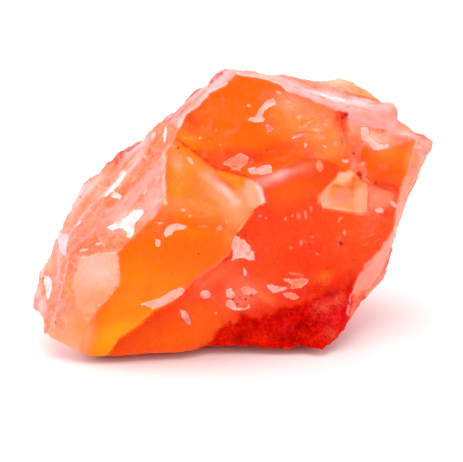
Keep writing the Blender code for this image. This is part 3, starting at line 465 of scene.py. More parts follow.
# Soft changes of colour inside each face: (colour, across, rise, half length, half height, turn, amount).
SPOTS = {
    # Bulge, from its yellow foot, partly painted glow of light through the thin edge, up to the hazy crest,
    # whose milk band is a painted highlight.
    "bulge": [
        ("amber", -13.0, 3.5, 5.0, 4.5, 50, 0.9), ("amber", -9.0, 4.0, 5.0, 2.5, 35, 0.6),
        ("gold", -15.6, -2.2, 4.6, 2.4, 35, 1.0), ("gold", -11.0, 0.6, 3.5, 1.0, 35, 0.5),
        ("peach", -19.6, -2.4, 0.9, 2.2, -10, 0.7), ("amber", -7.0, 18.0, 2.2, 3.8, 5, 0.85),
        ("amber", -6.0, 11.6, 3.5, 0.9, 0, 0.5), ("apricot", -0.3, 10.8, 1.2, 1.2, 40, 0.5),
        ("coral", -8.2, 15.2, 2.0, 1.0, 20, 0.6), ("apricot", -3.6, 15.0, 4.5, 1.4, -8, 0.65),
        ("apricot", -2.8, 17.2, 2.6, 1.0, -30, 0.6), ("apricot", 0.9, 13.9, 1.7, 1.9, 20, 0.85),
        ("apricot", -1.2, 15.2, 1.6, 1.2, 0, 0.85), ("cream", -7.4, 21.2, 0.9, 1.6, 15, 0.5),
        ("cream", -3.4, 19.2, 1.6, 0.7, -42, 0.5), ("amber", -5.2, 22.4, 2.6, 0.5, -32, 0.9),
        ("apricot", -1.3, 19.7, 1.2, 0.5, -25, 0.6), ("milk", -0.9, 17.1, 2.0, 0.55, -48, 0.9),
        ("peach", -1.6, 16.0, 2.0, 0.8, -40, 0.5), ("peach", 0.4, 15.6, 0.9, 0.7, -30, 0.6),
        ("apricot", -5.6, 21.2, 2.4, 1.1, -38, 0.75), ("milk", 0.5, 15.9, 0.6, 0.5, 0, 0.7),
        ("cream", 2.6, 16.9, 0.8, 1.6, -5, 0.85), ("rose", 3.8, 16.8, 0.55, 1.5, -12, 0.85),
        ("amber", -7.6, 17.4, 1.6, 1.4, 0, 0.8), ("peach", 0.6, 14.6, 1.6, 1.6, 20, 0.55),
        ("peach", 1.9, 17.0, 1.4, 1.3, 0, 0.6),
    ],
    "window": [
        ("ember", -5.8, 27.0, 1.0, 1.6, 30, 0.9), ("ember", -4.4, 29.4, 1.0, 1.4, 35, 0.4),
        ("amber", -5.6, 24.0, 1.8, 0.9, -20, 0.85), ("ember", 0.4, 21.8, 5.5, 1.1, 3, 0.85),
        ("scarlet", 3.2, 21.6, 2.2, 0.7, 10, 0.6), ("salmon", 8.4, 29.2, 2.8, 0.9, -20, 0.8),
        ("apricot", 8.5, 26.8, 3.4, 1.8, -10, 0.8), ("coral", 12.2, 26.4, 2.0, 2.0, 0, 0.75),
        ("ember", 6.4, 23.0, 2.6, 1.0, 5, 0.6), ("coral", 12.6, 23.0, 2.6, 1.5, 0, 0.5),
        ("ember", 10.0, 22.0, 2.0, 0.5, 10, 0.6), ("scarlet", 14.4, 27.3, 0.8, 0.6, -20, 1.0),
        ("apricot", 11.0, 25.2, 2.6, 1.6, -10, 0.6), ("peach", 7.6, 28.4, 2.2, 0.7, -20, 0.5),
        ("apricot", 12.6, 22.2, 1.8, 0.8, 10, 0.6), ("apricot", 13.6, 24.2, 1.0, 1.6, 0, 0.5),
        ("blood", 15.0, 27.4, 0.5, 0.45, 0, 0.9), ("ember", 14.5, 25.6, 0.7, 1.4, 10, 0.6),
        ("blood", -1.2, 20.6, 3.0, 0.35, -22, 0.45), ("blood", 5.6, 20.6, 1.6, 0.3, 18, 0.4),
        ("salmon", -6.2, 28.4, 0.9, 0.5, 50, 0.5),
    ],
    "face": [
        # Below the lip: the rose bands are painted sheen and the milk spot in them is a painted highlight.
        ("orange", 7.4, 17.0, 3.6, 1.8, 15, 0.75), ("rose", 5.9, 19.0, 2.9, 0.55, 15, 0.9),
        ("milk", 6.4, 19.5, 1.8, 0.35, 14, 0.8), ("coral", 9.5, 20.5, 1.9, 0.6, 20, 0.6),
        ("rose", 3.6, 18.3, 1.0, 0.6, 20, 0.7), ("scarlet", 5.2, 14.3, 2.5, 2.0, 0, 0.35),
        ("scarlet", 9.8, 8.3, 3.4, 2.4, 0, 0.6), ("orange", 17.0, 13.2, 4.0, 3.6, 0, 0.3),
        ("orange", -8.0, -2.4, 6.5, 2.2, 8, 0.95), ("orange", -4.5, 0.6, 3.5, 2.2, 10, 0.8),
        ("amber", 12.2, 5.6, 0.8, 0.9, 0, 0.85), ("coral", -2.4, 5.7, 4.4, 0.7, 37, 0.55),
        ("salmon", 1.1, 3.0, 1.9, 1.5, 0, 0.55), ("coral", 0.6, 5.4, 2.6, 1.3, -10, 0.4),
        ("coral", 3.8, 3.9, 3.2, 1.1, -15, 0.35), ("scarlet", 8.5, 3.2, 6.0, 1.5, 14, 0.8),
        ("apricot", 4.6, 3.0, 1.5, 0.5, -25, 0.4), ("blood", 11.5, 4.1, 4.0, 0.9, 20, 0.7),
        ("blood", 4.0, 1.1, 4.0, 0.7, 8, 0.6), ("blood", 15.6, 6.0, 1.6, 0.8, 35, 0.5),
        ("mauve", -0.5, 8.2, 0.8, 0.2, 35, 0.6), ("mauve", -4.4, 6.0, 2.6, 0.2, 35, 0.35),
        ("coral", 19.0, 15.0, 1.0, 0.4, 0, 0.5), ("blood", 14.5, 10.2, 0.35, 0.25, 0, 0.8),
        ("coral", 19.8, 16.3, 1.8, 1.1, -15, 0.9),
    ],
    # Foot of the middle face: darkest low down, paler to the right.
    "foot": [
        ("crimson", 13.6, 1.2, 2.4, 2.6, 30, 0.9), ("scarlet", 3.8, -2.2, 2.0, 0.9, 0, 0.6),
        ("scarlet", 10.8, -2.8, 1.1, 0.7, 0, 0.4), ("crimson", 7.3, -1.0, 1.2, 0.8, 0, 0.5),
        ("coral", 12.0, 1.7, 1.2, 0.7, 30, 0.4), ("coral", 14.1, 2.9, 0.9, 0.8, 20, 0.4),
        ("coral", 13.3, -1.8, 0.9, 0.9, 20, 0.30), ("deep", 0.2, -0.5, 0.9, 0.4, 0, 0.45),
        ("deep", 1.0, -2.6, 0.9, 0.5, 10, 0.4), ("deep", 2.3, -0.7, 0.7, 0.4, 20, 0.4),
        ("deep", 4.2, -0.7, 0.9, 0.4, 0, 0.4), ("deep", 6.4, 0.8, 1.2, 0.5, 15, 0.5),
        ("deep", 8.4, 1.3, 1.4, 0.6, 15, 0.55), ("deep", 9.0, -1.2, 1.5, 0.8, 20, 0.5),
        ("deep", 7.9, -2.7, 1.6, 0.6, 0, 0.6), ("deep", 11.0, -0.3, 0.8, 0.5, 30, 0.4),
        ("deep", 13.1, 3.7, 1.3, 0.4, 25, 0.45), ("deep", 16.3, 5.3, 0.8, 0.4, 30, 0.5),
        ("deep", 13.2, -0.7, 0.8, 0.5, 0, 0.3), ("scarlet", -0.6, -2.6, 1.2, 1.2, 0, 0.6),
    ],
    # Right: shoulder, pane, chip, rim.
    "shoulder": [
        ("ember", 16.7, 21.4, 1.2, 2.2, 0, 0.75), ("milk", 18.8, 24.0, 1.8, 0.9, -25, 0.8),
        ("peach", 16.3, 25.2, 0.7, 0.9, 20, 0.7), ("peach", 16.2, 20.6, 0.5, 0.7, 0, 0.4),
        ("peach", 20.4, 24.3, 2.0, 0.7, -10, 0.8), ("lilac", 22.8, 24.9, 2.6, 0.4, -12, 0.7),
        ("orange", 16.6, 24.1, 0.8, 0.9, 0, 0.6), ("peach", 23.6, 25.6, 2.0, 0.6, -15, 0.7),
    ],
    "pane": [
        ("amber", 21.1, 22.4, 1.7, 0.6, 0, 0.7), ("ember", 20.2, 19.2, 2.2, 1.2, -12, 0.7),
        ("apricot", 23.4, 22.0, 0.5, 1.6, -12, 0.7), ("blood", 20.8, 17.9, 2.4, 0.5, -8, 0.7),
        ("scarlet", 17.5, 19.0, 0.5, 0.7, 20, 0.9),
    ],
    "chip": [
        ("salmon", 14.4, 16.2, 2.4, 1.6, 0, 0.6), ("rose", 14.2, 16.1, 1.5, 0.8, 25, 0.75),
        ("apricot", 13.1, 16.9, 0.9, 0.9, 40, 0.7), ("coral", 14.7, 16.3, 1.3, 0.6, 20, 0.7),
        ("orange", 15.9, 17.9, 0.8, 0.4, 10, 0.7), ("peach", 17.0, 15.9, 0.9, 1.7, 0, 1.0),
        ("apricot", 14.5, 15.0, 1.4, 0.35, 0, 0.7), ("milk", 12.1, 15.8, 0.7, 0.6, 0, 0.8),
        ("cream", 16.9, 17.2, 0.5, 0.6, 0, 0.6),
    ],
    "rim": [
        # The milk spot at the rim's tip is a painted highlight.
        ("rose", 25.8, 22.8, 1.4, 2.6, 20, 0.7), ("milk", 25.8, 23.6, 0.5, 0.8, 20, 0.6),
        ("rose", 19.0, 7.0, 1.4, 4.5, -35, 0.6), ("coral", 23.6, 18.0, 0.9, 3.0, -15, 0.5),
        ("coral", 16.4, 2.4, 0.9, 2.4, -30, 0.7),
    ],
    # Flank: orange shows through its cloudy skin in slanting patches. Its pale rose, lilac, milk and peach
    # patches are partly that skin and partly painted sheen, mirrored light on its facets.
    "flank": [
        ("orange", -10.5, 22.6, 2.4, 0.7, 75, 1.0), ("lilac", -12.4, 23.4, 2.2, 0.5, 45, 0.8),
        ("orange", -12.0, 20.6, 2.2, 0.8, 62, 1.0), ("orange", -13.7, 18.2, 1.8, 0.8, 45, 1.0),
        ("scarlet", -15.65, 21.05, 0.6, 0.6, 0, 0.9), ("orange", -16.8, 15.7, 2.2, 0.8, 28, 1.0),
        ("orange", -19.3, 14.7, 1.8, 0.8, 45, 1.0), ("crimson", -15.0, 21.8, 0.7, 0.5, 40, 1.0),
        ("mauve", -14.7, 21.9, 0.5, 0.3, 40, 0.8), ("amber", -16.4, 20.4, 0.6, 0.4, 30, 0.7),
        ("coral", -19.1, 11.0, 1.3, 0.6, 30, 0.9), ("coral", -21.5, 12.4, 0.6, 0.9, 0, 0.9),
        ("orange", -18.2, 10.7, 3.0, 1.3, 18, 0.5), ("orange", -15.4, 10.3, 2.2, 0.8, 10, 0.9),
        ("scarlet", -18.2, 10.8, 1.6, 0.45, 35, 0.6), ("scarlet", -20.3, 9.5, 1.3, 0.4, 30, 0.5),
        ("cream", -15.0, 11.4, 1.3, 0.35, 0, 0.8), ("coral", -18.4, 10.4, 2.4, 0.9, 15, 0.6),
        ("orange", -16.5, 11.0, 1.8, 0.5, 20, 0.5), ("rose", -17.55, 18.9, 0.9, 0.5, 0, 0.9),
        ("lilac", -19.3, 17.6, 1.2, 0.5, 50, 0.8), ("rose", -10.8, 19.5, 2.0, 0.8, 60, 0.8),
        ("rose", -13.0, 17.1, 2.4, 0.6, 42, 0.8), ("rose", -15.8, 14.6, 2.2, 0.5, 35, 0.8),
        ("milk", -10.4, 16.2, 1.6, 0.8, 70, 0.8), ("coral", -15.6, 11.2, 2.6, 0.7, 22, 0.8),
        ("apricot", -13.6, 11.4, 1.0, 1.0, 30, 0.7), ("orange", -20.9, 7.3, 0.7, 0.9, 0, 1.0),
        ("apricot", -21.9, 4.1, 0.55, 1.8, 0, 0.9), ("lilac", -23.2, 6.4, 0.4, 2.2, -8, 0.8),
        ("rose", -23.3, 3.2, 0.5, 5.0, 15, 0.6), ("coral", -23.6, -0.2, 0.4, 0.4, 0, 0.8),
        ("mauve", -24.1, -1.4, 0.3, 0.4, 0, 0.6), ("apricot", -24.6, 7.15, 0.6, 0.8, 0, 0.8),
        ("apricot", -25.6, 3.8, 0.5, 1.4, 0, 0.6), ("milk", -26.2, 1.8, 0.6, 0.8, 0, 0.7),
        ("lilac", -25.9, 3.0, 0.7, 2.6, 10, 0.7), ("lilac", -24.6, 8.6, 0.5, 2.0, -15, 0.6),
        ("lilac", -20.9, 15.6, 0.6, 2.8, -38, 0.7), ("peach", -17.8, 17.6, 2.2, 1.0, 50, 0.55),
        ("peach", -20.3, 14.2, 1.6, 0.9, 50, 0.5), ("milk", -18.6, 18.0, 1.8, 0.4, 50, 0.6),
        ("cream", -14.0, 19.0, 0.9, 0.5, 50, 0.35), ("lilac", -22.6, 10.6, 0.6, 1.6, -8, 0.7),
        ("coral", -17.4, 12.9, 1.2, 0.5, 30, 0.6), ("lilac", -13.6, 13.6, 2.6, 1.0, 30, 0.9),
        ("lilac", -13.4, 20.6, 3.4, 0.35, 52, 0.7), ("rose", -10.2, 18.0, 1.2, 3.6, -8, 0.6),
        ("rose", -20.8, 12.4, 0.9, 2.2, -35, 0.5),
    ],
    # Hexagon and the left foot. The hexagon's lilac veil is painted sheen and its milk streak is a painted
    # glint.
    "hexagon": [
        ("coral", -18.0, 2.6, 2.6, 1.2, 0, 0.4), ("lilac", -18.2, 6.9, 3.4, 2.2, 5, 0.45),
        ("apricot", -17.3, 3.6, 0.6, 0.5, 0, 0.35), ("milk", -17.3, 6.4, 0.9, 0.25, 0, 0.6),
    ],
    "left foot": [
        ("apricot", -20.2, -1.2, 1.4, 1.8, 0, 0.8), ("amber", -19.3, -2.8, 0.9, 1.8, 0, 0.9),
        ("coral", -22.4, -0.9, 1.6, 0.8, 0, 0.4), ("coral", -21.6, 0.9, 1.4, 0.4, 10, 0.5),
    ],
    # Left band, top band, knob and slab.
    "left band": [
        ("apricot", -5.3, 28.6, 0.8, 0.5, 50, 0.7), ("milk", -7.05, 26.5, 0.4, 0.6, 30, 0.8),
        ("mauve", -2.1, 32.9, 0.9, 0.35, 40, 0.85), ("mauve", -4.6, 31.3, 0.9, 0.3, 45, 0.75),
        ("lilac", -2.4, 31.4, 2.2, 0.4, 43, 0.7), ("coral", -7.6, 28.0, 1.6, 0.4, 48, 0.5),
        ("peach", -3.6, 30.7, 1.0, 0.35, 45, 0.7), ("apricot", -3.0, 31.8, 0.6, 0.3, 40, 0.6),
        ("milk", -5.4, 29.5, 0.7, 0.3, 45, 0.7),
    ],
    "top": [
        # The top's lilac and milk bands are partly cloudy skin and partly painted sheen.
        ("salmon", 10.6, 31.8, 3.6, 0.6, -22, 0.9), ("coral", 7.6, 32.6, 2.4, 0.3, -14, 0.6),
        ("lilac", 11.6, 30.2, 4.6, 0.45, -17, 0.95), ("milk", 4.0, 32.6, 3.4, 0.35, -9, 0.7),
        ("coral", 11.2, 31.4, 3.0, 0.45, -20, 0.6), ("lilac", 16.6, 29.0, 1.6, 0.4, -5, 0.9),
        ("crimson", 15.3, 29.7, 0.8, 0.3, -20, 0.35), ("mauve", 9.6, 32.6, 2.0, 0.25, -12, 0.4),
    ],
    "knob": [
        ("peach", 15.8, 31.4, 2.8, 1.2, -25, 0.6), ("rose", 13.6, 31.0, 1.6, 0.8, -20, 0.8),
        ("cream", 14.0, 31.9, 1.3, 0.6, -20, 0.9), ("amber", 17.6, 30.8, 1.2, 0.5, -35, 0.35),
    ],
    "slab": [
        ("mauve", 22.2, 27.6, 0.35, 1.2, -5, 0.6), ("apricot", 19.7, 25.4, 1.4, 0.35, 0, 0.8),
        ("crimson", 18.8, 26.8, 4.5, 2.4, 0, 0.20), ("milk", 18.2, 28.2, 2.6, 0.3, -3, 0.4),
        ("salmon", 19.4, 27.0, 2.4, 0.3, -4, 0.5),
    ],
}

# Facets painted over a face: (colour, amount, corners).
FACETS = [
    # Shell-shaped chip: its creamy top, its right side, its tip, its foot and the cloudy patch beside it.
    ("cream", 0.85, [
        (14.3, 19.8), (15.0, 19.6), (15.6, 20.0), (16.2, 19.5), (15.6, 18.5), (14.5, 18.1), (13.4, 18.2),
    ]),
    ("peach", 0.75, [
        (16.2, 18.6), (17.2, 18.2), (17.6, 18.5), (18.0, 18.0), (18.0, 14.1), (17.3, 13.9), (16.3, 14.4),
        (16.0, 15.6), (16.2, 17.0),
    ]),
    ("peach", 0.7, [
        (11.3, 15.7), (11.4, 16.5), (12.6, 17.8), (13.4, 18.5), (13.0, 17.0), (12.6, 15.6), (12.0, 14.9),
    ]),
    ("cream", 0.5, [(12.6, 15.0), (14.4, 15.1), (16.2, 14.7), (17.2, 14.0), (15.0, 14.3), (12.6, 14.6)]),
    ("amber", 0.5, [(15.6, 18.4), (16.6, 18.5), (17.2, 18.2), (16.9, 17.5), (15.9, 17.3)]),
    ("salmon", 0.4, [
        (18.1, 18.0), (19.5, 17.4), (21.2, 17.1), (21.6, 16.7), (20.6, 15.0), (19.3, 15.0), (18.2, 15.1),
    ]),
    # Crest of the bulge: an amber wedge and the pad at its end.
    ("amber", 0.85, [
        (-2.1, 19.8), (-0.2, 19.5), (1.7, 18.9), (1.3, 17.9), (0.8, 16.9), (-0.3, 18.2), (-1.4, 19.1),
    ]),
    ("peach", 0.85, [
        (1.7, 18.8), (3.3, 18.5), (3.9, 17.6), (4.2, 16.6), (4.4, 15.7), (3.0, 15.0), (2.2, 15.2),
        (2.0, 16.2), (1.6, 17.2),
    ]),
    ("lilac", 0.7, [
        (3.2, 18.5), (3.9, 17.6), (4.2, 16.6), (4.4, 15.7), (3.8, 15.4), (3.6, 16.6), (3.1, 17.6),
    ]),
    # Notch under the top band.
    ("blood", 0.7, [(14.1, 28.0), (15.2, 27.8), (15.5, 26.8), (14.7, 26.5), (14.3, 27.3)]),
    ("scarlet", 0.7, [(14.3, 26.6), (14.8, 26.9), (15.1, 25.2), (14.8, 24.9)]),
]
# Bruised flakes with a clear rim, and a thin painted shadow around it. Outlines: (colour, amount, corners).
OUTLINES = [
    ("flake", 0.95, [
        (-14.2, 20.0), (-14.25, 19.5), (-15.0, 18.5), (-16.2, 17.2), (-16.9, 16.6), (-17.4, 16.6),
        (-16.9, 17.4), (-16.2, 18.3), (-15.1, 19.4), (-14.75, 20.0),
    ]),
    ("flake", 0.85, [(-15.9, 17.4), (-14.75, 16.6), (-15.0, 16.1), (-16.4, 16.5)]),
    ("flake", 1.0, [
        (-16.8, 12.4), (-15.5, 13.15), (-14.1, 13.8), (-13.1, 14.7), (-11.8, 14.8), (-11.95, 14.2),
        (-13.0, 12.9), (-13.2, 11.6), (-13.7, 11.0), (-14.2, 11.1), (-14.1, 11.9), (-15.1, 12.3),
        (-16.2, 12.0),
    ]),
    ("lilac", 0.9, [(-23.2, 11.6), (-21.9, 11.5), (-22.15, 9.7), (-22.3, 8.4), (-23.2, 9.4)]),
    ("flake", 0.9, [(-25.2, 6.0), (-24.3, 5.75), (-24.1, 4.9), (-24.45, 3.2), (-24.7, 2.6), (-25.1, 4.35)]),
    ("milk", 0.95, [
        (4.0, 28.6), (4.6, 29.3), (5.3, 29.6), (5.9, 29.2), (5.6, 28.7), (4.9, 28.5), (4.2, 27.8),
        (3.9, 27.1), (4.3, 26.9), (4.2, 26.5), (3.0, 26.4), (2.0, 26.6), (2.3, 27.0), (3.1, 27.1),
        (3.4, 27.9),
    ]),
    ("salmon", 0.75, [(4.3, 26.25), (5.2, 26.0), (5.45, 25.6), (4.8, 25.0), (4.55, 25.5)]),
    ("salmon", 0.9, [
        (-1.4, 20.9), (-0.15, 21.8), (1.1, 22.3), (2.1, 21.8), (2.0, 20.9), (1.1, 20.3), (0.2, 20.1),
        (-0.4, 20.6),
    ]),
    ("cream", 0.8, [(-0.6, 21.2), (0.2, 21.7), (1.0, 21.6), (0.8, 21.1), (0.0, 20.9)]),
    ("milk", 0.95, [
        (1.9, 20.25), (3.5, 20.4), (4.8, 20.8), (5.3, 20.5), (5.2, 19.75), (4.05, 19.4), (2.4, 19.4),
    ]),
    ("milk", 0.9, [
        (-9.2, 11.6), (-8.95, 12.3), (-8.3, 12.8), (-7.3, 12.9), (-6.5, 12.7), (-6.1, 12.55), (-6.3, 12.2),
        (-7.8, 12.0), (-8.15, 11.3), (-8.95, 11.05),
    ]),
    ("milk", 0.85, [(-10.3, 10.8), (-9.6, 10.7), (-9.6, 9.9), (-10.2, 9.8)]),
    ("milk", 0.95, [
        (0.45, 11.3), (1.1, 11.0), (1.8, 10.5), (2.4, 9.9), (2.8, 9.0), (3.0, 8.0), (2.5, 7.9), (1.9, 8.15),
        (1.1, 8.3), (0.45, 8.15), (-0.15, 7.95), (0.15, 9.1), (-0.05, 10.0), (0.05, 10.8),
    ]),
    ("milk", 0.8, [(-0.9, 4.0), (-0.2, 4.3), (0.4, 3.4), (-0.1, 2.9), (-0.8, 3.1)]),
    ("milk", 0.45, [(1.0, 4.4), (2.1, 4.5), (3.0, 4.1), (3.5, 3.7), (2.6, 3.3), (1.5, 3.4)]),
    ("milk", 0.8, [
        (-0.9, 2.4), (-0.5, 2.8), (0.3, 2.4), (0.6, 1.6), (1.9, 1.7), (2.2, 2.2), (2.4, 1.6), (1.0, 1.3),
        (0.1, 1.3), (-0.65, 1.7),
    ]),
    ("milk", 0.75, [(4.25, 4.6), (5.2, 4.8), (6.1, 4.6), (7.5, 4.3), (6.7, 3.9), (5.5, 3.55), (4.85, 4.2)]),
    ("peach", 0.85, [
        (6.5, 5.55), (7.9, 5.55), (10.2, 5.5), (9.9, 4.9), (9.1, 4.3), (8.2, 4.2), (7.6, 4.3), (7.9, 4.8),
    ]),
    ("peach", 0.8, [(6.5, 3.6), (7.8, 3.7), (9.0, 3.1), (8.2, 2.7), (7.5, 2.95)]),
    ("milk", 0.85, [
        (17.1, 25.7), (18.1, 25.7), (18.25, 24.5), (19.0, 23.7), (19.9, 23.4), (20.9, 23.4), (20.8, 23.1),
        (19.4, 22.7), (18.8, 22.8), (18.1, 23.7), (17.2, 24.1),
    ]),
    ("milk", 0.9, [
        (-12.4, 2.1), (-11.0, 2.6), (-9.6, 2.9), (-8.4, 3.7), (-7.0, 4.3), (-6.3, 4.2), (-6.6, 3.4),
        (-7.7, 2.7), (-9.2, 2.0), (-10.5, 1.5),
    ]),
    ("milk", 0.9, [(-7.0, 1.4), (-6.3, 1.2), (-5.8, 0.5), (-5.5, -0.6), (-6.1, -0.4), (-6.8, 0.4)]),
]
# Small ovals: (colour, amount, across, rise, half length, half height, turn).
OVALS = [
    ("milk", 0.9, -3.6, 3.4, 0.75, 0.5, 0), ("cream", 0.9, -9.0, 15.65, 0.35, 0.3, 0),
    ("flake", 0.9, -9.0, 24.75, 0.22, 1.1, 0), ("milk", 0.8, -6.5, 14.7, 0.32, 0.22, 0),
    ("cream", 0.7, -5.7, 13.9, 0.22, 0.18, 0), ("cream", 0.8, -0.8, 13.2, 0.17, 0.3, 0),
    ("peach", 0.8, -1.7, 12.3, 0.45, 0.35, 20), ("apricot", 0.8, -3.9, 12.5, 0.7, 0.2, 0),
    ("cream", 0.7, -9.8, 13.0, 0.7, 0.16, 0), ("cream", 0.8, -5.6, 21.3, 0.7, 0.25, -50),
    ("peach", 0.85, 8.8, 27.15, 0.4, 0.3, 0), ("milk", 0.8, 8.8, 24.6, 0.9, 0.22, 20),
    ("milk", 0.8, 9.7, 23.3, 0.18, 0.45, 0), ("peach", 0.8, 9.3, 25.9, 0.6, 0.25, 0),
    ("peach", 0.8, 11.9, 24.5, 0.5, 0.3, -15), ("peach", 0.75, 11.6, 20.6, 0.5, 0.75, 10),
    ("milk", 0.9, 15.1, 21.2, 0.5, 0.25, 0), ("peach", 0.8, 17.5, 20.9, 0.4, 0.3, 0),
    ("milk", 0.9, 21.5, 15.5, 0.6, 0.3, -55), ("milk", 0.9, 19.7, 14.6, 0.6, 0.35, 0),
    ("peach", 0.6, 3.7, 13.9, 0.28, 0.2, 0), ("peach", 0.6, 4.5, 13.6, 0.2, 0.2, 0),
    ("peach", 0.7, 7.1, 13.5, 0.17, 0.3, 0), ("peach", 0.6, 8.0, 13.9, 0.2, 0.2, 0),
    ("peach", 0.7, 8.8, 13.9, 0.25, 0.4, 0), ("peach", 0.7, 9.75, 14.1, 0.22, 0.6, 0),
    ("peach", 0.7, 10.5, 14.9, 0.2, 0.4, 0), ("peach", 0.6, 9.2, 10.3, 0.2, 0.4, 0),
    ("apricot", 0.6, 7.8, 9.6, 0.3, 0.2, 0), ("peach", 0.6, 10.7, 11.1, 0.3, 0.2, 0),
    ("peach", 0.7, 11.3, 8.8, 0.32, 0.17, -30), ("peach", 0.8, 14.3, 13.4, 0.5, 0.17, 45),
    ("peach", 0.7, 15.0, 11.7, 0.25, 0.4, 0), ("peach", 0.7, 13.7, 23.6, 0.35, 0.4, 0),
    ("milk", 0.8, 1.7, 6.4, 0.2, 0.5, 15), ("salmon", 0.7, 8.5, 6.15, 1.0, 0.18, -8),
    ("flake", 0.8, -0.05, 1.9, 0.45, 0.4, 0), ("cream", 0.9, 21.8, 12.05, 0.25, 0.4, 0),
    ("milk", 0.7, 2.2, 28.6, 0.25, 0.2, 0), ("cream", 0.7, -2.2, 25.4, 0.25, 0.16, 0),
    ("cream", 0.6, -4.3, 24.3, 0.2, 0.2, 0), ("gold", 0.8, -3.1, 23.8, 0.22, 0.18, 0),
    ("gold", 0.8, -1.6, 23.4, 0.2, 0.16, 0), ("gold", 0.8, -4.0, 25.7, 0.2, 0.16, 0),
    ("cream", 0.7, 6.1, 30.4, 0.5, 0.2, -20), ("lilac", 0.8, -10.6, 24.6, 0.25, 0.7, -25),
    ("milk", 0.8, -20.6, 13.0, 0.5, 0.2, 40), ("milk", 0.7, -17.9, 10.2, 0.5, 0.18, 20),
    ("milk", 0.7, -19.8, 9.4, 0.7, 0.2, 10), ("milk", 0.6, -11.6, 17.3, 0.2, 0.7, -25),
    ("milk", 0.6, -2.2, 0.9, 0.25, 0.2, 0), ("apricot", 0.8, 18.6, 11.4, 0.5, 0.14, 30),
    ("apricot", 0.8, 19.3, 10.6, 0.45, 0.14, 30), ("apricot", 0.7, 17.8, 10.1, 0.4, 0.14, 30),
    ("scarlet", 0.7, 15.9, 22.4, 0.45, 0.17, -60), ("scarlet", 0.7, 16.9, 19.5, 0.45, 0.25, -60),
    ("cream", 0.7, 10.2, 26.4, 0.55, 0.18, 25), ("cream", 0.7, 11.1, 25.4, 0.5, 0.25, 0),
    ("peach", 0.8, 12.4, 26.2, 0.4, 0.2, -20), ("cream", 0.6, 12.3, 23.2, 0.3, 0.2, 0),
    ("cream", 0.6, 7.4, 29.2, 0.5, 0.2, -20), ("apricot", 0.7, 24.2, 21.4, 0.4, 0.8, -10),
    ("cream", 0.7, 24.8, 23.1, 0.5, 0.3, 0), ("peach", 0.7, 25.4, 21.4, 0.3, 0.6, -20),
]
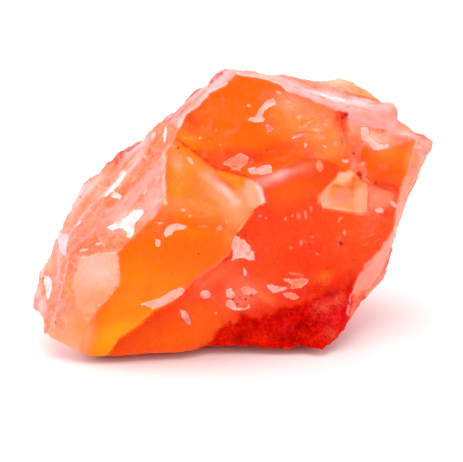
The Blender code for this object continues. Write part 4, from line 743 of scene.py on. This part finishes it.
# Thin lines: (colour, amount, half width, points).
HAIRS = [
    # Flank, its strips and the hexagon. The pale lines on the flank's ridges are partly worn edges and partly
    # painted highlights.
    ("lilac", 0.45, 0.15, [(-12.0, 22.8), (-15.0, 19.6), (-17.3, 17.0), (-20.6, 13.6), (-22.9, 9.6)]),
    ("rose", 0.6, 0.30, [
        (-9.6, 20.6), (-11.3, 18.2), (-13.5, 15.8), (-17.0, 13.4), (-20.8, 10.2), (-22.3, 8.5),
    ]),
    ("milk", 0.6, 0.24, [(-9.2, 22.3), (-9.3, 19.0), (-9.1, 15.8)]),
    ("lilac", 0.7, 0.22, [(-19.9, 17.9), (-21.6, 15.0), (-23.2, 11.8)]),
    ("milk", 0.55, 0.13, [(-22.0, 7.9), (-22.9, 4.5), (-23.6, 1.2), (-24.5, -1.4)]),
    ("mauve", 0.5, 0.10, [(-16.8, 12.05), (-15.6, 11.95), (-14.5, 12.2)]),
    ("mauve", 0.8, 0.20, [(-16.5, 20.9), (-15.3, 22.0), (-14.2, 22.9)]),
    ("mauve", 0.9, 0.18, [(-14.0, 22.5), (-13.1, 23.2), (-12.3, 23.8)]),
    ("lilac", 0.6, 0.2, [(-23.4, 11.6), (-24.6, 8.6), (-25.6, 5.8)]),
    ("mauve", 0.35, 0.10, [(-21.3, 8.6), (-21.7, 6.4), (-21.3, 4.6), (-21.0, 1.8)]),
    ("cream", 0.7, 0.13, [(-15.35, 8.6), (-15.2, 6.4), (-15.3, 4.6), (-16.6, 2.9), (-18.1, 1.8)]),
    ("milk", 0.8, 0.14, [(-20.1, 8.35), (-17.6, 8.9), (-15.5, 9.0)]),
    ("coral", 0.6, 0.12, [(-21.4, 5.3), (-21.0, 1.7), (-19.9, 0.6), (-18.4, 0.9)]),
    # Bulge and its neighbours.
    ("blood", 0.6, 0.14, [
        (-7.4, 24.1), (-5.0, 22.4), (-3.0, 20.9), (-2.0, 20.25), (0.4, 19.7), (2.0, 19.1),
    ]),
    ("ember", 0.6, 0.09, [(-1.8, 19.1), (-0.35, 18.25), (0.6, 17.1)]),
    ("cream", 0.6, 0.13, [(2.7, 14.7), (1.7, 13.2), (0.8, 11.9)]),
    ("gold", 0.7, 0.16, [(-10.6, 1.2), (-12.9, -1.0), (-15.3, -2.6), (-16.6, -4.8)]),
    ("coral", 0.6, 0.14, [(-6.2, 4.2), (-4.6, 5.6), (-2.6, 7.0), (-0.6, 8.7)]),
    ("mauve", 0.5, 0.12, [(3.05, 9.6), (3.3, 8.6), (3.2, 7.7)]),
    ("blood", 0.7, 0.12, [(-0.05, 8.6), (-0.6, 8.3), (-1.2, 7.8)]),
    # Window and the bands above it.
    ("cream", 0.8, 0.13, [(-0.15, 20.5), (0.4, 20.2), (1.1, 20.1)]),
    ("lilac", 0.7, 0.15, [(-8.4, 27.2), (-6.6, 28.9), (-4.2, 30.7), (-1.6, 32.6)]),
    ("mauve", 0.5, 0.12, [(-7.6, 27.0), (-5.8, 28.7), (-3.6, 30.6)]),
    ("mauve", 0.9, 0.2, [(-3.2, 31.3), (-2.4, 32.2), (-1.5, 32.9)]),
    ("mauve", 0.9, 0.18, [(-6.4, 29.1), (-5.2, 30.3), (-4.3, 31.0)]),
    ("mauve", 0.8, 0.16, [(-8.6, 26.7), (-7.6, 27.8), (-6.9, 28.6)]),
    ("milk", 0.7, 0.2, [(-7.2, 25.8), (-6.3, 27.6), (-4.6, 28.8), (-3.3, 30.4), (-0.8, 31.6)]),
    ("milk", 0.8, 0.15, [(0.6, 33.0), (3.6, 32.5), (6.4, 31.6), (7.3, 30.8)]),
    ("coral", 0.6, 0.12, [(3.4, 33.6), (7.0, 32.6), (10.0, 31.6), (12.4, 30.4)]),
    # A painted glint along a ridge of the top band.
    ("flake", 0.8, 0.16, [(11.9, 30.05), (13.4, 29.6), (15.0, 29.3)]),
    ("salmon", 0.8, 0.14, [(8.2, 31.2), (10.6, 30.2), (13.6, 28.9)]),
    ("mauve", 0.5, 0.11, [(12.4, 31.4), (14.4, 30.4), (16.6, 29.9), (19.4, 29.2)]),
    ("coral", 0.7, 0.12, [(13.15, 27.0), (13.6, 25.9), (14.3, 24.9)]),
    # Shoulder, pane and chip.
    ("blood", 0.8, 0.16, [(17.9, 19.1), (18.8, 18.2), (20.4, 17.5), (22.1, 17.3)]),
    ("milk", 0.7, 0.12, [(21.2, 25.3), (22.6, 24.8), (24.2, 25.0)]),
    ("mauve", 0.6, 0.12, [(14.6, 21.6), (15.7, 21.65)]),
    ("salmon", 0.7, 0.2, [(14.6, 24.9), (15.0, 23.2), (14.6, 22.2)]),
    ("mauve", 0.5, 0.11, [(18.05, 17.9), (18.1, 16.0), (18.05, 14.3), (17.3, 13.95)]),
    ("mauve", 0.45, 0.10, [(11.4, 15.5), (12.4, 14.7), (14.6, 14.4), (16.2, 14.2)]),
    ("apricot", 0.5, 0.10, [(15.75, 18.3), (15.9, 16.8), (16.1, 15.2)]),
    ("rose", 0.8, 0.15, [(17.4, 6.2), (16.6, 4.4), (15.7, 3.0), (15.4, 0.8)]),
    # Right rim.
    ("crimson", 0.6, 0.2, [(21.5, 10.4), (20.8, 8.2), (20.0, 6.3)]),
    ("mauve", 0.6, 0.13, [(21.4, 9.4), (20.5, 7.0), (18.9, 4.9), (17.2, 3.1)]),
    ("mauve", 0.5, 0.12, [(26.5, 22.8), (25.0, 19.4), (23.0, 16.0)]),
    ("mauve", 0.6, 0.13, [(24.0, 25.1), (25.3, 24.6), (26.6, 23.9)]),
]
# Dark specks: (across, rise, half size).
SPECKS = [
    (14.7, 23.8, 0.17), (16.15, 22.2, 0.22), (17.1, 18.9, 0.17), (15.15, 27.45, 0.3), (14.6, 26.9, 0.2),
    (2.5, 3.3, 0.2), (1.8, 2.8, 0.17), (0.95, 3.2, 0.14), (0.1, 2.8, 0.17), (0.7, 2.2, 0.14),
    (0.1, 3.3, 0.12), (-7.3, 23.0, 0.2), (-4.5, 8.8, 0.13), (14.5, 10.2, 0.2), (-1.4, 0.4, 0.14),
    (-0.3, -0.3, 0.2), (-8.1, 6.2, 0.12), (-2.4, 16.3, 0.12), (9.6, 12.2, 0.14), (12.6, 6.9, 0.14),
    (16.2, 8.1, 0.16), (10.3, 10.2, 0.12), (-15.9, 18.6, 0.12), (-20.2, 16.4, 0.14), (-17.9, 9.6, 0.13),
    (-23.7, -0.3, 0.2), (4.6, 22.7, 0.12), (8.3, 28.4, 0.13), (19.1, 18.4, 0.16),
]
# How far around its edge a mark is known, in mm.
MARK_FADE = 1.2


# How far the painted borders stray: reach in mm, waves per mm, seed and octaves.
BEND = (0.35, 0.5, 21, 3)
LOOSE_BEND = (1.5, 0.35, 23, 4)
FRAY = (0.12, 1.5, 25, 3)
# Noises of the relief and of the skin: waves per mm, seed and octaves.
WAVE_NOISE = (0.16, 1, 3)
GRAIN_NOISE = (1.1, 2, 4)
PATCH_NOISE = (0.12, 3, 2)
NICK_NOISE = (0.55, 5, 3)
BRUISE_NOISE = (0.36, 12, 4)
STREAK_NOISE = (0.7, 11, 4)
HIDDEN_NOISE = (0.09, 30, 2)
FACET_SIZE = 2.6
FACET_SEED = 4
NICK_WIDTH = 0.55
# How much smoother than the rest a face is.
SMOOTHER = {"bulge": 0.75, "hexagon": 0.8, "face": 0.5}
# Sharpness of the borders between the faces turned away, and how much noise bends them.
HIDDEN_PULL = 14
HIDDEN_BEND = 1.6
# How much the noise of the streaks is drawn out along them, and, in mm, the pale lines on the ridges and the
# painted shadows beside them.
STREAK_SQUEEZE = 0.92
RIDGE_LINE_WIDTH = 0.28
SHADOW_GAP = 0.6
SHADOW_WIDTH = 0.2


class CarnelianShape:
    """The stone's fine surface and the fields that its colours follow."""

    def __init__(self, settings):
        self.surface = self.refined_stone(settings)
        points = self.surface.points
        self.normals = point_normals(points, self.surface.faces)
        self.flat = on_sheet(points)
        self.bent = self.flat + wobble(points, *BEND)
        eye = np.array((0, -math.cos(SIGHT_TILT), math.sin(SIGHT_TILT))) * SIGHT_DISTANCE
        facing = ((eye - points) * self.normals).sum(axis=1) / np.linalg.norm(eye - points, axis=1)
        self.seen = smooth_step(-0.10, 0.0, facing)
        self.away = 1 - self.seen
        _, bulging = self.surface.turns()
        self.ridge_gap = ridge_distance(points, self.surface.edges[self.surface.sharp & bulging])
        self.find_regions()
        self.find_clouds_and_sheen()
        self.find_marks()

    def refined_stone(self, settings):
        """The stone's triangles, split up and rounded between the ridges."""
        surface = Surface(*read_stone())
        turn, _ = surface.turns()
        surface.sharp = turn > settings.sharp_from
        for _ in range(settings.refine):
            surface = surface.refined()
        return surface

    def find_regions(self):
        """How much each point belongs to each face. The faces share every point that is seen."""
        points = self.surface.points
        frayed = self.flat + wobble(points, *FRAY)
        depth = {name: outline_depth(frayed, corners) for name, corners in REGIONS.items()}
        self.near_foot = smooth_step(-1.6, -0.2, depth["foot"])
        depth["face"] = np.maximum(depth["face"], depth["foot"])
        self.region = {name: smooth_step(-0.2, 0.2, depth[name]) * self.seen for name in LAID_OVER}
        foot_depth = outline_depth(self.bent + wobble(points, *LOOSE_BEND), FOOT_FACE) + 0.2
        self.region["foot"] = smooth_step(-0.7, 0.7, foot_depth) * self.seen
        shared = [name for name in REGIONS if name not in LAID_OVER]
        pull = np.minimum([depth[name] for name in shared], 0.6) / BORDER_FADE
        weight = np.exp(pull - pull.max(axis=0))
        self.region.update(zip(shared, weight / weight.sum(axis=0) * self.seen))

    def find_clouds_and_sheen(self):
        """How cloudy the skin is at each point, painted sheen included, and how hazy with the mottled parts
        of clear faces.
        """
        self.hidden = self.hidden_faces()
        self.cloud_and_sheen = self.away * (self.hidden @ np.array([cloud for _, cloud, _ in HIDDEN_FACES]))
        for name, amount in CLOUD_AND_SHEEN.items():
            self.cloud_and_sheen = self.cloud_and_sheen + amount * self.region[name]
        self.cloud_and_sheen = np.minimum(self.cloud_and_sheen, 1) * (1 - self.region["pane"])
        self.haze_and_sheen = self.cloud_and_sheen.copy()
        for face, *place, amount in HAZES:
            self.haze_and_sheen = np.maximum(self.haze_and_sheen, amount * spot(self.bent, *place) * self.region[face])

    def hidden_faces(self):
        """How much each point belongs to each face turned away: most to the one that looks its way."""
        points = self.surface.points
        ways = np.array([np.array(way) / np.linalg.norm(way) for _, _, way in HIDDEN_FACES])
        per_mm, seed, detail = HIDDEN_NOISE
        bends = [waves(points, per_mm, seed + i, detail) for i in range(len(ways))]
        pull = HIDDEN_PULL * (self.normals @ ways.T)
        pull += HIDDEN_BEND * np.stack(bends, axis=1)
        weight = np.exp(pull - pull.max(axis=1, keepdims=True))
        return weight / weight.sum(axis=1, keepdims=True)

    def find_marks(self):
        """The nearest mark to each point: how deep the point lies in it, its colour and its amount."""
        flat = self.flat
        found = [(tint, amount, outline_depth(flat, corners)) for tint, amount, corners in OUTLINES]
        found += [(tint, amount, oval_depth(flat, *place)) for tint, amount, *place in OVALS]
        found += [(tint, amount, half - line_distance(flat, line)) for tint, amount, half, line in HAIRS]
        bruise = 0.9 * (waves(self.surface.points, *BRUISE_NOISE) - 0.42)
        bruise -= 0.5 * smooth_step(0.5, 2.5, self.ridge_gap)
        depth = np.array([np.where(self.seen > 0.5, one[2], -MARK_FADE) for one in found])
        depth = np.vstack([depth, np.where(self.seen > 0.5, -MARK_FADE, bruise)])
        self.mark_owner = depth.argmax(axis=0)
        self.mark = np.clip(0.5 + depth.max(axis=0) / MARK_FADE, 0, 1)
        self.mark_tints = [one[0] for one in found] + ["milk"]
        self.mark_amounts = np.array([one[1] for one in found] + [0.75])[self.mark_owner]
        oval_rims = [1.0 if oval[0] in ("milk", "flake") else 0.5 for oval in OVALS]
        rims = [1.0] * len(OUTLINES) + oval_rims + [0.0] * len(HAIRS) + [1.0]
        self.rimmed = np.array(rims)[self.mark_owner]
        specks = [oval_depth(flat, across, rise, size, size, 0) for across, rise, size in SPECKS]
        self.specks = np.clip(0.5 + np.max(specks, axis=0) / MARK_FADE, 0, 1) * self.seen

    def roughen(self, settings):
        """Raise the waves, the grain and the broken facets. Sink the nicks and the scars."""
        points, region = self.surface.points, self.region
        rough = np.ones(len(points))
        for name, amount in SMOOTHER.items():
            rough -= amount * region[name]
        height = settings.wave * waves(points, *WAVE_NOISE) * (0.5 + 0.5 * rough)
        height += settings.grain * waves(points, *GRAIN_NOISE) * (0.4 + 0.6 * rough + 0.8 * region["foot"])
        patches = smooth_step(-0.25, 0.35, waves(points, *PATCH_NOISE))
        broken = settings.hackle * facets(points, FACET_SIZE, FACET_SEED) * patches
        height += broken * rough * (1 + 1.4 * self.away)
        self.nicked = smooth_step(0.05, 0.55, waves(points, *NICK_NOISE))
        height -= settings.nick * self.nicked * np.exp(-(self.ridge_gap / NICK_WIDTH) ** 2)
        height -= settings.scar * smooth_step(0.46, 0.6, self.mark)
        base = smooth_step(0.03, 1.0, points[:, 2])
        moved = points + self.normals * (height * base)[:, None]
        moved[:, 2] = np.where(points[:, 2] < 0.02, points[:, 2], np.maximum(moved[:, 2], 0.05))
        low, high = (np.array(corner) / MM for corner in CAD_BOX)
        self.surface.points = np.clip(moved, low, high)

    def face_colours(self, tint):
        """Every face in its own tint."""
        hidden = np.array([tint[shade] for shade, _, _ in HIDDEN_FACES])
        body = self.hidden @ hidden * self.away[:, None]
        for name, shade in FACE_TINTS.items():
            if name not in LAID_OVER:
                body = body + self.region[name][:, None] * tint[shade]
        for name in LAID_OVER:
            body = mixed(body, tint[FACE_TINTS[name]], self.region[name])
        return body

    def spotted(self, body, tint):
        """The soft spots and the painted facets over a colour."""
        points, region = self.surface.points, dict(self.region)
        back = self.bent - self.flat + points[:, [0, 2]]
        for shade, *place, amount in BACK_SPOTS:
            body = mixed(body, tint[shade], amount * spot(back, *place) * self.away)
        left_tip = self.away * smooth_step(22.0, 24.5, -points[:, 0])
        body = mixed(body, tint["rose"], 0.8 * left_tip)
        region["face"] = region["face"] * (1 - region["chip"]) * (1 - region["foot"])
        for face, spots in SPOTS.items():
            for shade, *place, amount in spots:
                body = mixed(body, tint[shade], amount * spot(self.bent, *place) * region[face])
        for shade, amount, corners in FACETS:
            inside = amount * smooth_step(-0.2, 0.2, outline_depth(self.flat, corners))
            body = mixed(body, tint[shade], inside * self.seen)
        return body

    def streaked(self, body, tint):
        """Streaks in the cloudy skin and its painted sheen, pale lines on the ridges, partly worn edges and
        partly painted highlights, and thin painted shadows beside them.
        """
        points = self.surface.points
        way = np.array(STREAK_WAY) / np.linalg.norm(STREAK_WAY)
        squeezed = points - STREAK_SQUEEZE * (points @ way)[:, None] * way
        streaks = waves(squeezed, *STREAK_NOISE)
        body = mixed(body, tint["orange"], 0.35 * smooth_step(0.1, 0.5, streaks) * self.cloud_and_sheen)
        body = mixed(body, tint["milk"], 0.22 * smooth_step(0.1, 0.6, -streaks) * self.cloud_and_sheen)
        strength = (0.10 + 0.40 * self.cloud_and_sheen + 0.35 * self.away) * (1 - self.near_foot)
        # Pale lines on the convex ridges: partly chipped, worn edges and partly painted highlights. Beside
        # them lies a thin painted shadow in mauve.
        line = np.exp(-(self.ridge_gap / RIDGE_LINE_WIDTH) ** 2) * (0.25 + 0.75 * self.nicked)
        body = mixed(body, tint["milk"], line * strength)
        beside = np.exp(-((self.ridge_gap - SHADOW_GAP) / SHADOW_WIDTH) ** 2)
        return mixed(body, tint["mauve"], 0.35 * (beside * smooth_step(0.0, 0.4, streaks)) * strength)

    def colours(self, settings):
        """The fields that the material reads at every point."""
        tint = {name: np.array(getattr(settings, name)) for name in TINTS}
        body = self.streaked(self.spotted(self.face_colours(tint), tint), tint)
        red = [float(shade in ("blood", "crimson")) for shade, _, _ in HIDDEN_FACES]
        shades = np.array([tint[name] for name in self.mark_tints])[self.mark_owner]
        return {
            "body": body,
            "marks": np.column_stack([shades, self.mark_amounts]),
            "mark": self.mark,
            "grainy": self.region["foot"] + 0.7 * (self.hidden @ np.array(red)) * self.away,
            "cloud_and_sheen": self.haze_and_sheen,
            "specks": self.specks,
            "rimmed": self.rimmed,
        }


def mixed(first, second, part):
    part = np.asarray(part)[..., None]
    return first * (1 - part) + second * part


# Material

# Noises of the material: waves per mm, detail, roughness and distortion.
CLOUDS = (0.22, 5, 0.6, 0.4)
MOTTLE = (0.9, 4, 0.6, 0.3)
DOTS = (1.7, 4, 0.6, 0.5)
GRAINS = (3.0, 3, 0.6, 0.0)
FINE = (5.0, 3, 0.6, 0.0)
BUMP_STRENGTH = 0.3
BUMP_HEIGHT = 0.2 * MM
REFRACTION = 1.54
SCATTER_RADIUS = (1.0, 0.28, 0.1)
SCATTER_SCALE = 0.8 * MM
SCATTER = 0.5
SCATTER_IN_GRAIN = 0.15
SHINE = 0.08


class Nodes:
    """Short ways to add and join shader nodes."""

    def __init__(self, material):
        material.use_nodes = True
        self.tree = material.node_tree
        self.shader = self.tree.nodes["Principled BSDF"]
        self.place = self.add("ShaderNodeTexCoord").outputs["Object"]

    def add(self, kind, sockets=(), **settings):
        made = self.tree.nodes.new(kind)
        for name, value in settings.items():
            setattr(made, name, value)
        for name, value in dict(sockets).items():
            self.put(made.inputs[name], value)
        return made

    def put(self, socket, value):
        if isinstance(value, bpy.types.NodeSocket):
            self.tree.links.new(value, socket)
        else:
            socket.default_value = value

    def attribute(self, name, output="Fac"):
        return self.add("ShaderNodeAttribute", attribute_name=name).outputs[output]

    def noise(self, per_mm, detail, roughness, distortion):
        sockets = {
            "Vector": self.place, "Scale": per_mm / MM, "Detail": detail, "Roughness": roughness,
            "Distortion": distortion,
        }
        return self.add("ShaderNodeTexNoise", sockets).outputs["Fac"]

    def math(self, operation, first, second, clamp=False):
        made = self.add("ShaderNodeMath", {0: first, 1: second}, operation=operation, use_clamp=clamp)
        return made.outputs[0]

    def product(self, first, *others):
        for other in others:
            first = self.math("MULTIPLY", first, other)
        return first

    def range(self, value, low, high, to_low=0.0, to_high=1.0):
        """A value from low to high, taken softly to to_low to to_high."""
        sockets = {"Value": value, "From Min": low, "From Max": high, "To Min": to_low, "To Max": to_high}
        return self.add("ShaderNodeMapRange", sockets, interpolation_type="SMOOTHSTEP").outputs["Result"]

    def mix(self, part, first, second):
        made = self.add("ShaderNodeMix", data_type="RGBA")
        self.put(made.inputs["Factor"], part)
        self.put(made.inputs["A"], first)
        self.put(made.inputs["B"], second)
        return made.outputs["Result"]


def opaque(colour):
    return (*colour, 1.0)


class StoneSkin(Nodes):
    """The stone's material. Its layers follow the fields of the shape and five noises."""

    def __init__(self, settings):
        self.material = bpy.data.materials.new("carnelian_skin")
        super().__init__(self.material)
        self.settings = settings
        self.clouds = self.noise(*CLOUDS)
        self.mottle = self.noise(*MOTTLE)
        self.dots = self.noise(*DOTS)
        self.grains = self.noise(*GRAINS)
        self.fine = self.noise(*FINE)
        self.grainy = self.attribute("grainy")
        self.cloud_and_sheen = self.attribute("cloud_and_sheen")
        self.rimmed = self.attribute("rimmed")
        self.even = self.math("SUBTRACT", 1.0, self.grainy)
        colour, mark = self.marked(self.body())
        self.put(self.shader.inputs["Base Color"], colour)
        self.set_gloss(mark)

    def layer(self, part, colour, name):
        """One of the named tints over a colour."""
        return self.mix(part, colour, opaque(getattr(self.settings, name)))

    def body(self):
        """The colours of the faces with their mottling, their painted sheen, their grain and their dust."""
        ember = self.product(self.range(self.clouds, 0.50, 0.74, 0.0, 0.22), self.even)
        colour = self.layer(ember, self.attribute("body", "Color"), "ember")
        # A milky veil over the cloudy faces: partly their haze and partly painted sheen.
        sheen_and_haze = self.range(self.cloud_and_sheen, 0.0, 1.0, 0.10, 1.0)
        veil = self.product(self.range(self.mottle, 0.48, 0.72, 0.0, 0.24), sheen_and_haze, self.even)
        colour = self.layer(veil, colour, "milk")
        glow = self.product(self.range(self.dots, 0.46, 0.64, 0.0, 0.50), self.grainy)
        colour = self.layer(glow, colour, "scarlet")
        clear = self.math("SUBTRACT", 1.0, self.math("MAXIMUM", self.grainy, self.cloud_and_sheen))
        sparks = self.product(self.range(self.fine, 0.54, 0.70, 0.0, 0.40), clear)
        colour = self.layer(sparks, colour, "amber")
        lumps = self.range(self.mottle, 0.36, 0.52, 0.50, 0.0)
        clots = self.math("MAXIMUM", lumps, self.range(self.grains, 0.46, 0.66, 0.0, 0.60))
        dust = self.range(self.grains, 0.57, 0.76, 0.0, 0.34)
        dark = self.math("MAXIMUM", self.product(clots, self.grainy), dust)
        colour = self.layer(dark, colour, "deep")
        pale = self.product(self.range(self.grains, 0.70, 0.78, 0.0, 0.4), self.even)
        colour = self.layer(pale, colour, "milk")
        frost = self.product(self.range(self.grains, 0.54, 0.68, 0.0, 0.20), self.cloud_and_sheen)
        colour = self.layer(frost, colour, "flake")
        soot = self.product(self.range(self.fine, 0.32, 0.46, 0.26, 0.0), self.cloud_and_sheen)
        return self.layer(soot, colour, "mauve")

    def marked(self, colour):
        """The flakes, lines and specks over a colour, with a thin painted shadow around the rimmed marks, and
        how much of a mark each place has.
        """
        large = self.range(self.dots, 0.3, 0.7, -0.035, 0.035)
        ragged = self.math("ADD", large, self.range(self.grains, 0.3, 0.7, -0.03, 0.03))
        depth = self.math("ADD", self.attribute("mark"), ragged)
        # A thin painted shadow in mauve just outside the rimmed marks, where their step would shade the
        # surface.
        rim = self.product(
            self.range(depth, 0.36, 0.42),
            self.range(depth, 0.44, 0.48, 1.0, 0.0),
            self.range(self.mottle, 0.42, 0.6, 0.0, 0.45),
            self.range(self.rimmed, 0.0, 1.0, 0.2, 1.0),
        )
        colour = self.layer(rim, colour, "mauve")
        broken = self.range(self.dots, 0.36, 0.56, 0.55, 1.0)
        mark = self.product(
            self.range(depth, 0.45, 0.57),
            self.attribute("marks", "Alpha"),
            self.range(self.mottle, 0.36, 0.6, 0.62, 1.0),
            self.math("MAXIMUM", broken, self.range(self.rimmed, 0.0, 0.5)),
        )
        colour = self.mix(mark, colour, self.attribute("marks", "Color"))
        pale_rim = self.product(
            self.range(depth, 0.48, 0.54),
            self.range(depth, 0.56, 0.66, 1.0, 0.0),
            mark,
            self.range(self.rimmed, 0.5, 1.0),
            self.range(self.dots, 0.4, 0.6, 0.0, 0.6),
        )
        colour = self.layer(pale_rim, colour, "flake")
        speck = self.math("ADD", self.attribute("specks"), self.product(ragged, 1.6))
        colour = self.layer(self.range(speck, 0.46, 0.56, 0.0, 0.7), colour, "deep")
        return colour, mark

    def set_gloss(self, mark):
        """Gloss, fine relief and the light that scatters below the surface."""
        inputs = self.shader.inputs
        dull = self.product(self.math("MAXIMUM", mark, self.cloud_and_sheen), 0.18)
        rough = self.math("ADD", self.range(self.clouds, 0.3, 0.7, 0.20, 0.32), dull, True)
        self.put(inputs["Roughness"], rough)
        relief = self.math("ADD", self.product(self.dots, 0.6), self.product(self.fine, 0.25))
        sockets = {"Height": relief, "Strength": BUMP_STRENGTH, "Distance": BUMP_HEIGHT}
        self.put(inputs["Normal"], self.add("ShaderNodeBump", sockets).outputs["Normal"])
        inputs["IOR"].default_value = REFRACTION
        scatter = self.range(self.grainy, 0.0, 1.0, SCATTER, SCATTER_IN_GRAIN)
        self.put(inputs["Subsurface Weight"], scatter)
        inputs["Subsurface Radius"].default_value = SCATTER_RADIUS
        inputs["Subsurface Scale"].default_value = SCATTER_SCALE
        self.put(inputs["Specular IOR Level"], self.product(self.even, SHINE))


# Operators

SMOOTH_UP_TO = math.radians(28)


def add_fields(mesh, fields):
    """Store each field with the points of a mesh: a colour where it has columns, or else a number."""
    for name, values in fields.items():
        if values.ndim == 1:
            mesh.attributes.new(name, "FLOAT", "POINT").data.foreach_set("value", values)
            continue
        if values.shape[1] == 3:
            values = np.column_stack([values, np.ones(len(values))])
        mesh.attributes.new(name, "FLOAT_COLOR", "POINT").data.foreach_set("color", values.ravel())


class CARNELIAN_OT_stone(bpy.types.Operator):
    """Make the fine surface of the stone over its solid, with its colours"""

    bl_idname = "carnelian.stone"
    bl_label = "Dress the stone"

    def execute(self, context):
        settings = context.scene.carnelian_stone
        shape = CarnelianShape(settings)
        shape.roughen(settings)
        surface = shape.surface
        mesh = bpy.data.meshes.new("carnelian_surface")
        mesh.from_pydata((surface.points * MM).tolist(), [], surface.faces.tolist())
        mesh.update()
        mesh.polygons.foreach_set("use_smooth", np.ones(len(surface.faces), dtype=bool))
        mesh.set_sharp_from_angle(angle=SMOOTH_UP_TO)
        add_fields(mesh, shape.colours(settings))
        mesh.materials.append(StoneSkin(settings).material)
        stone = bpy.data.objects.new("carnelian_surface", mesh)
        context.scene.collection.objects.link(stone)
        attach(stone, "root")
        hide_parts(NODE)
        return {"FINISHED"}


# Studio. Places and sizes are in metres, as Blender counts them.
MIDDLE = Vector((0, 0, 0.015))
# Lights: (name, setting of its brightness, place from the middle, width, height).
LIGHTS = [
    ("left_light", "key", (-0.55, 0.25, 0.36), 0.5, 0.5),
    ("back_light", "back", (0.06, 0.6, 0.37), 0.5, 0.35),
    ("right_light", "side", (0.6, 0.3, 0.12), 0.35, 0.3),
    ("top_light", "top", (-0.1, -0.1, 0.8), 0.7, 0.7),
]
PAPER_ROUGHNESS = 0.9
PAPER_SHINE = 0.1
SENSOR_WIDTH = 36
NEAREST_SEEN = 0.01
# How far left of the stone's foot the camera aims, in mm.
AIM_SHIFT = 0.13


def add_softbox(name, place, width, height, brightness):
    """A rectangular light of a given brightness per area, turned to the middle."""
    light = bpy.data.lights.new(name, "AREA")
    light.shape = "RECTANGLE"
    light.size, light.size_y = width, height
    light.energy = brightness * width * height * math.pi
    lamp = bpy.data.objects.new(name, light)
    lamp.location = place
    lamp.rotation_euler = (MIDDLE - place).to_track_quat("-Z", "Y").to_euler()
    bpy.context.scene.collection.objects.link(lamp)


def add_floor(settings):
    half = settings.floor_size / 2
    corners = [(-half, -half, 0), (half, -half, 0), (half, half, 0), (-half, half, 0)]
    mesh = bpy.data.meshes.new("floor")
    mesh.from_pydata(corners, [], [(0, 1, 2, 3)])
    paper = bpy.data.materials.new("paper")
    inputs = Nodes(paper).shader.inputs
    inputs["Base Color"].default_value = opaque(settings.floor)
    inputs["Roughness"].default_value = PAPER_ROUGHNESS
    inputs["Specular IOR Level"].default_value = PAPER_SHINE
    mesh.materials.append(paper)
    floor = bpy.data.objects.new("floor", mesh)
    bpy.context.scene.collection.objects.link(floor)


def add_room(settings):
    """Even white light from all around, which is dimmer where the stone mirrors it."""
    world = bpy.data.worlds.new("room")
    world.use_nodes = True
    tree = world.node_tree
    room = tree.nodes["Background"]
    room.inputs["Color"].default_value = (1, 1, 1, 1)
    path = tree.nodes.new("ShaderNodeLightPath")
    strength = tree.nodes.new("ShaderNodeMix")
    strength.inputs["A"].default_value = settings.world
    strength.inputs["B"].default_value = settings.mirrored
    tree.links.new(path.outputs["Is Glossy Ray"], strength.inputs["Factor"])
    tree.links.new(strength.outputs["Result"], room.inputs["Strength"])
    bpy.context.scene.world = world


def add_camera(settings):
    """The camera on the line of sight, looking down by its tilt at the middle of the sheet."""
    up = Vector((0, math.sin(settings.tilt), math.cos(settings.tilt)))
    away = Vector((0, math.cos(settings.tilt), -math.sin(settings.tilt)))
    aim = (FOOT - Vector((AIM_SHIFT, 0, 0)) + up * SIGHT_RISE) * MM
    lens = bpy.data.cameras.new("camera")
    lens.sensor_width = SENSOR_WIDTH
    lens.lens = SENSOR_WIDTH * settings.distance / settings.frame_width
    lens.clip_start = NEAREST_SEEN
    camera = bpy.data.objects.new("camera", lens)
    camera.location = aim - away * settings.distance
    camera.rotation_euler = away.to_track_quat("-Z", "Y").to_euler()
    bpy.context.scene.collection.objects.link(camera)
    bpy.context.scene.camera = camera


class CARNELIAN_OT_studio(bpy.types.Operator):
    """Add the pale floor, the soft lights and the camera"""

    bl_idname = "carnelian.studio"
    bl_label = "Set up the studio"

    def execute(self, context):
        settings = context.scene.carnelian_studio
        context.scene.view_settings.view_transform = "Standard"
        add_floor(settings)
        add_room(settings)
        for name, setting, place, width, height in LIGHTS:
            add_softbox(name, MIDDLE + Vector(place), width, height, getattr(settings, setting))
        add_camera(settings)
        return {"FINISHED"}


class CARNELIAN_PT_panel(bpy.types.Panel):
    """Settings and buttons of the stone and the studio"""

    bl_idname = "CARNELIAN_PT_panel"
    bl_label = "Carnelian"
    bl_space_type = "VIEW_3D"
    bl_region_type = "UI"
    bl_category = "Carnelian"

    def draw(self, context):
        for part in ("stone", "studio"):
            box = self.layout.box()
            settings = getattr(context.scene, f"carnelian_{part}")
            for name in settings.bl_rna.properties.keys():
                if name not in ("rna_type", "name"):
                    box.prop(settings, name)
            box.operator(f"carnelian.{part}")


CLASSES = (CarnelianStone, CarnelianStudio, CARNELIAN_OT_stone, CARNELIAN_OT_studio, CARNELIAN_PT_panel)


def register():
    for made in CLASSES:
        bpy.utils.register_class(made)
    bpy.types.Scene.carnelian_stone = PointerProperty(type=CarnelianStone)
    bpy.types.Scene.carnelian_studio = PointerProperty(type=CarnelianStudio)


def unregister():
    del bpy.types.Scene.carnelian_studio
    del bpy.types.Scene.carnelian_stone
    for made in reversed(CLASSES):
        bpy.utils.unregister_class(made)


def main():
    register()
    bpy.ops.carnelian.stone()
    bpy.ops.carnelian.studio()


if __name__ == "__main__":
    main()
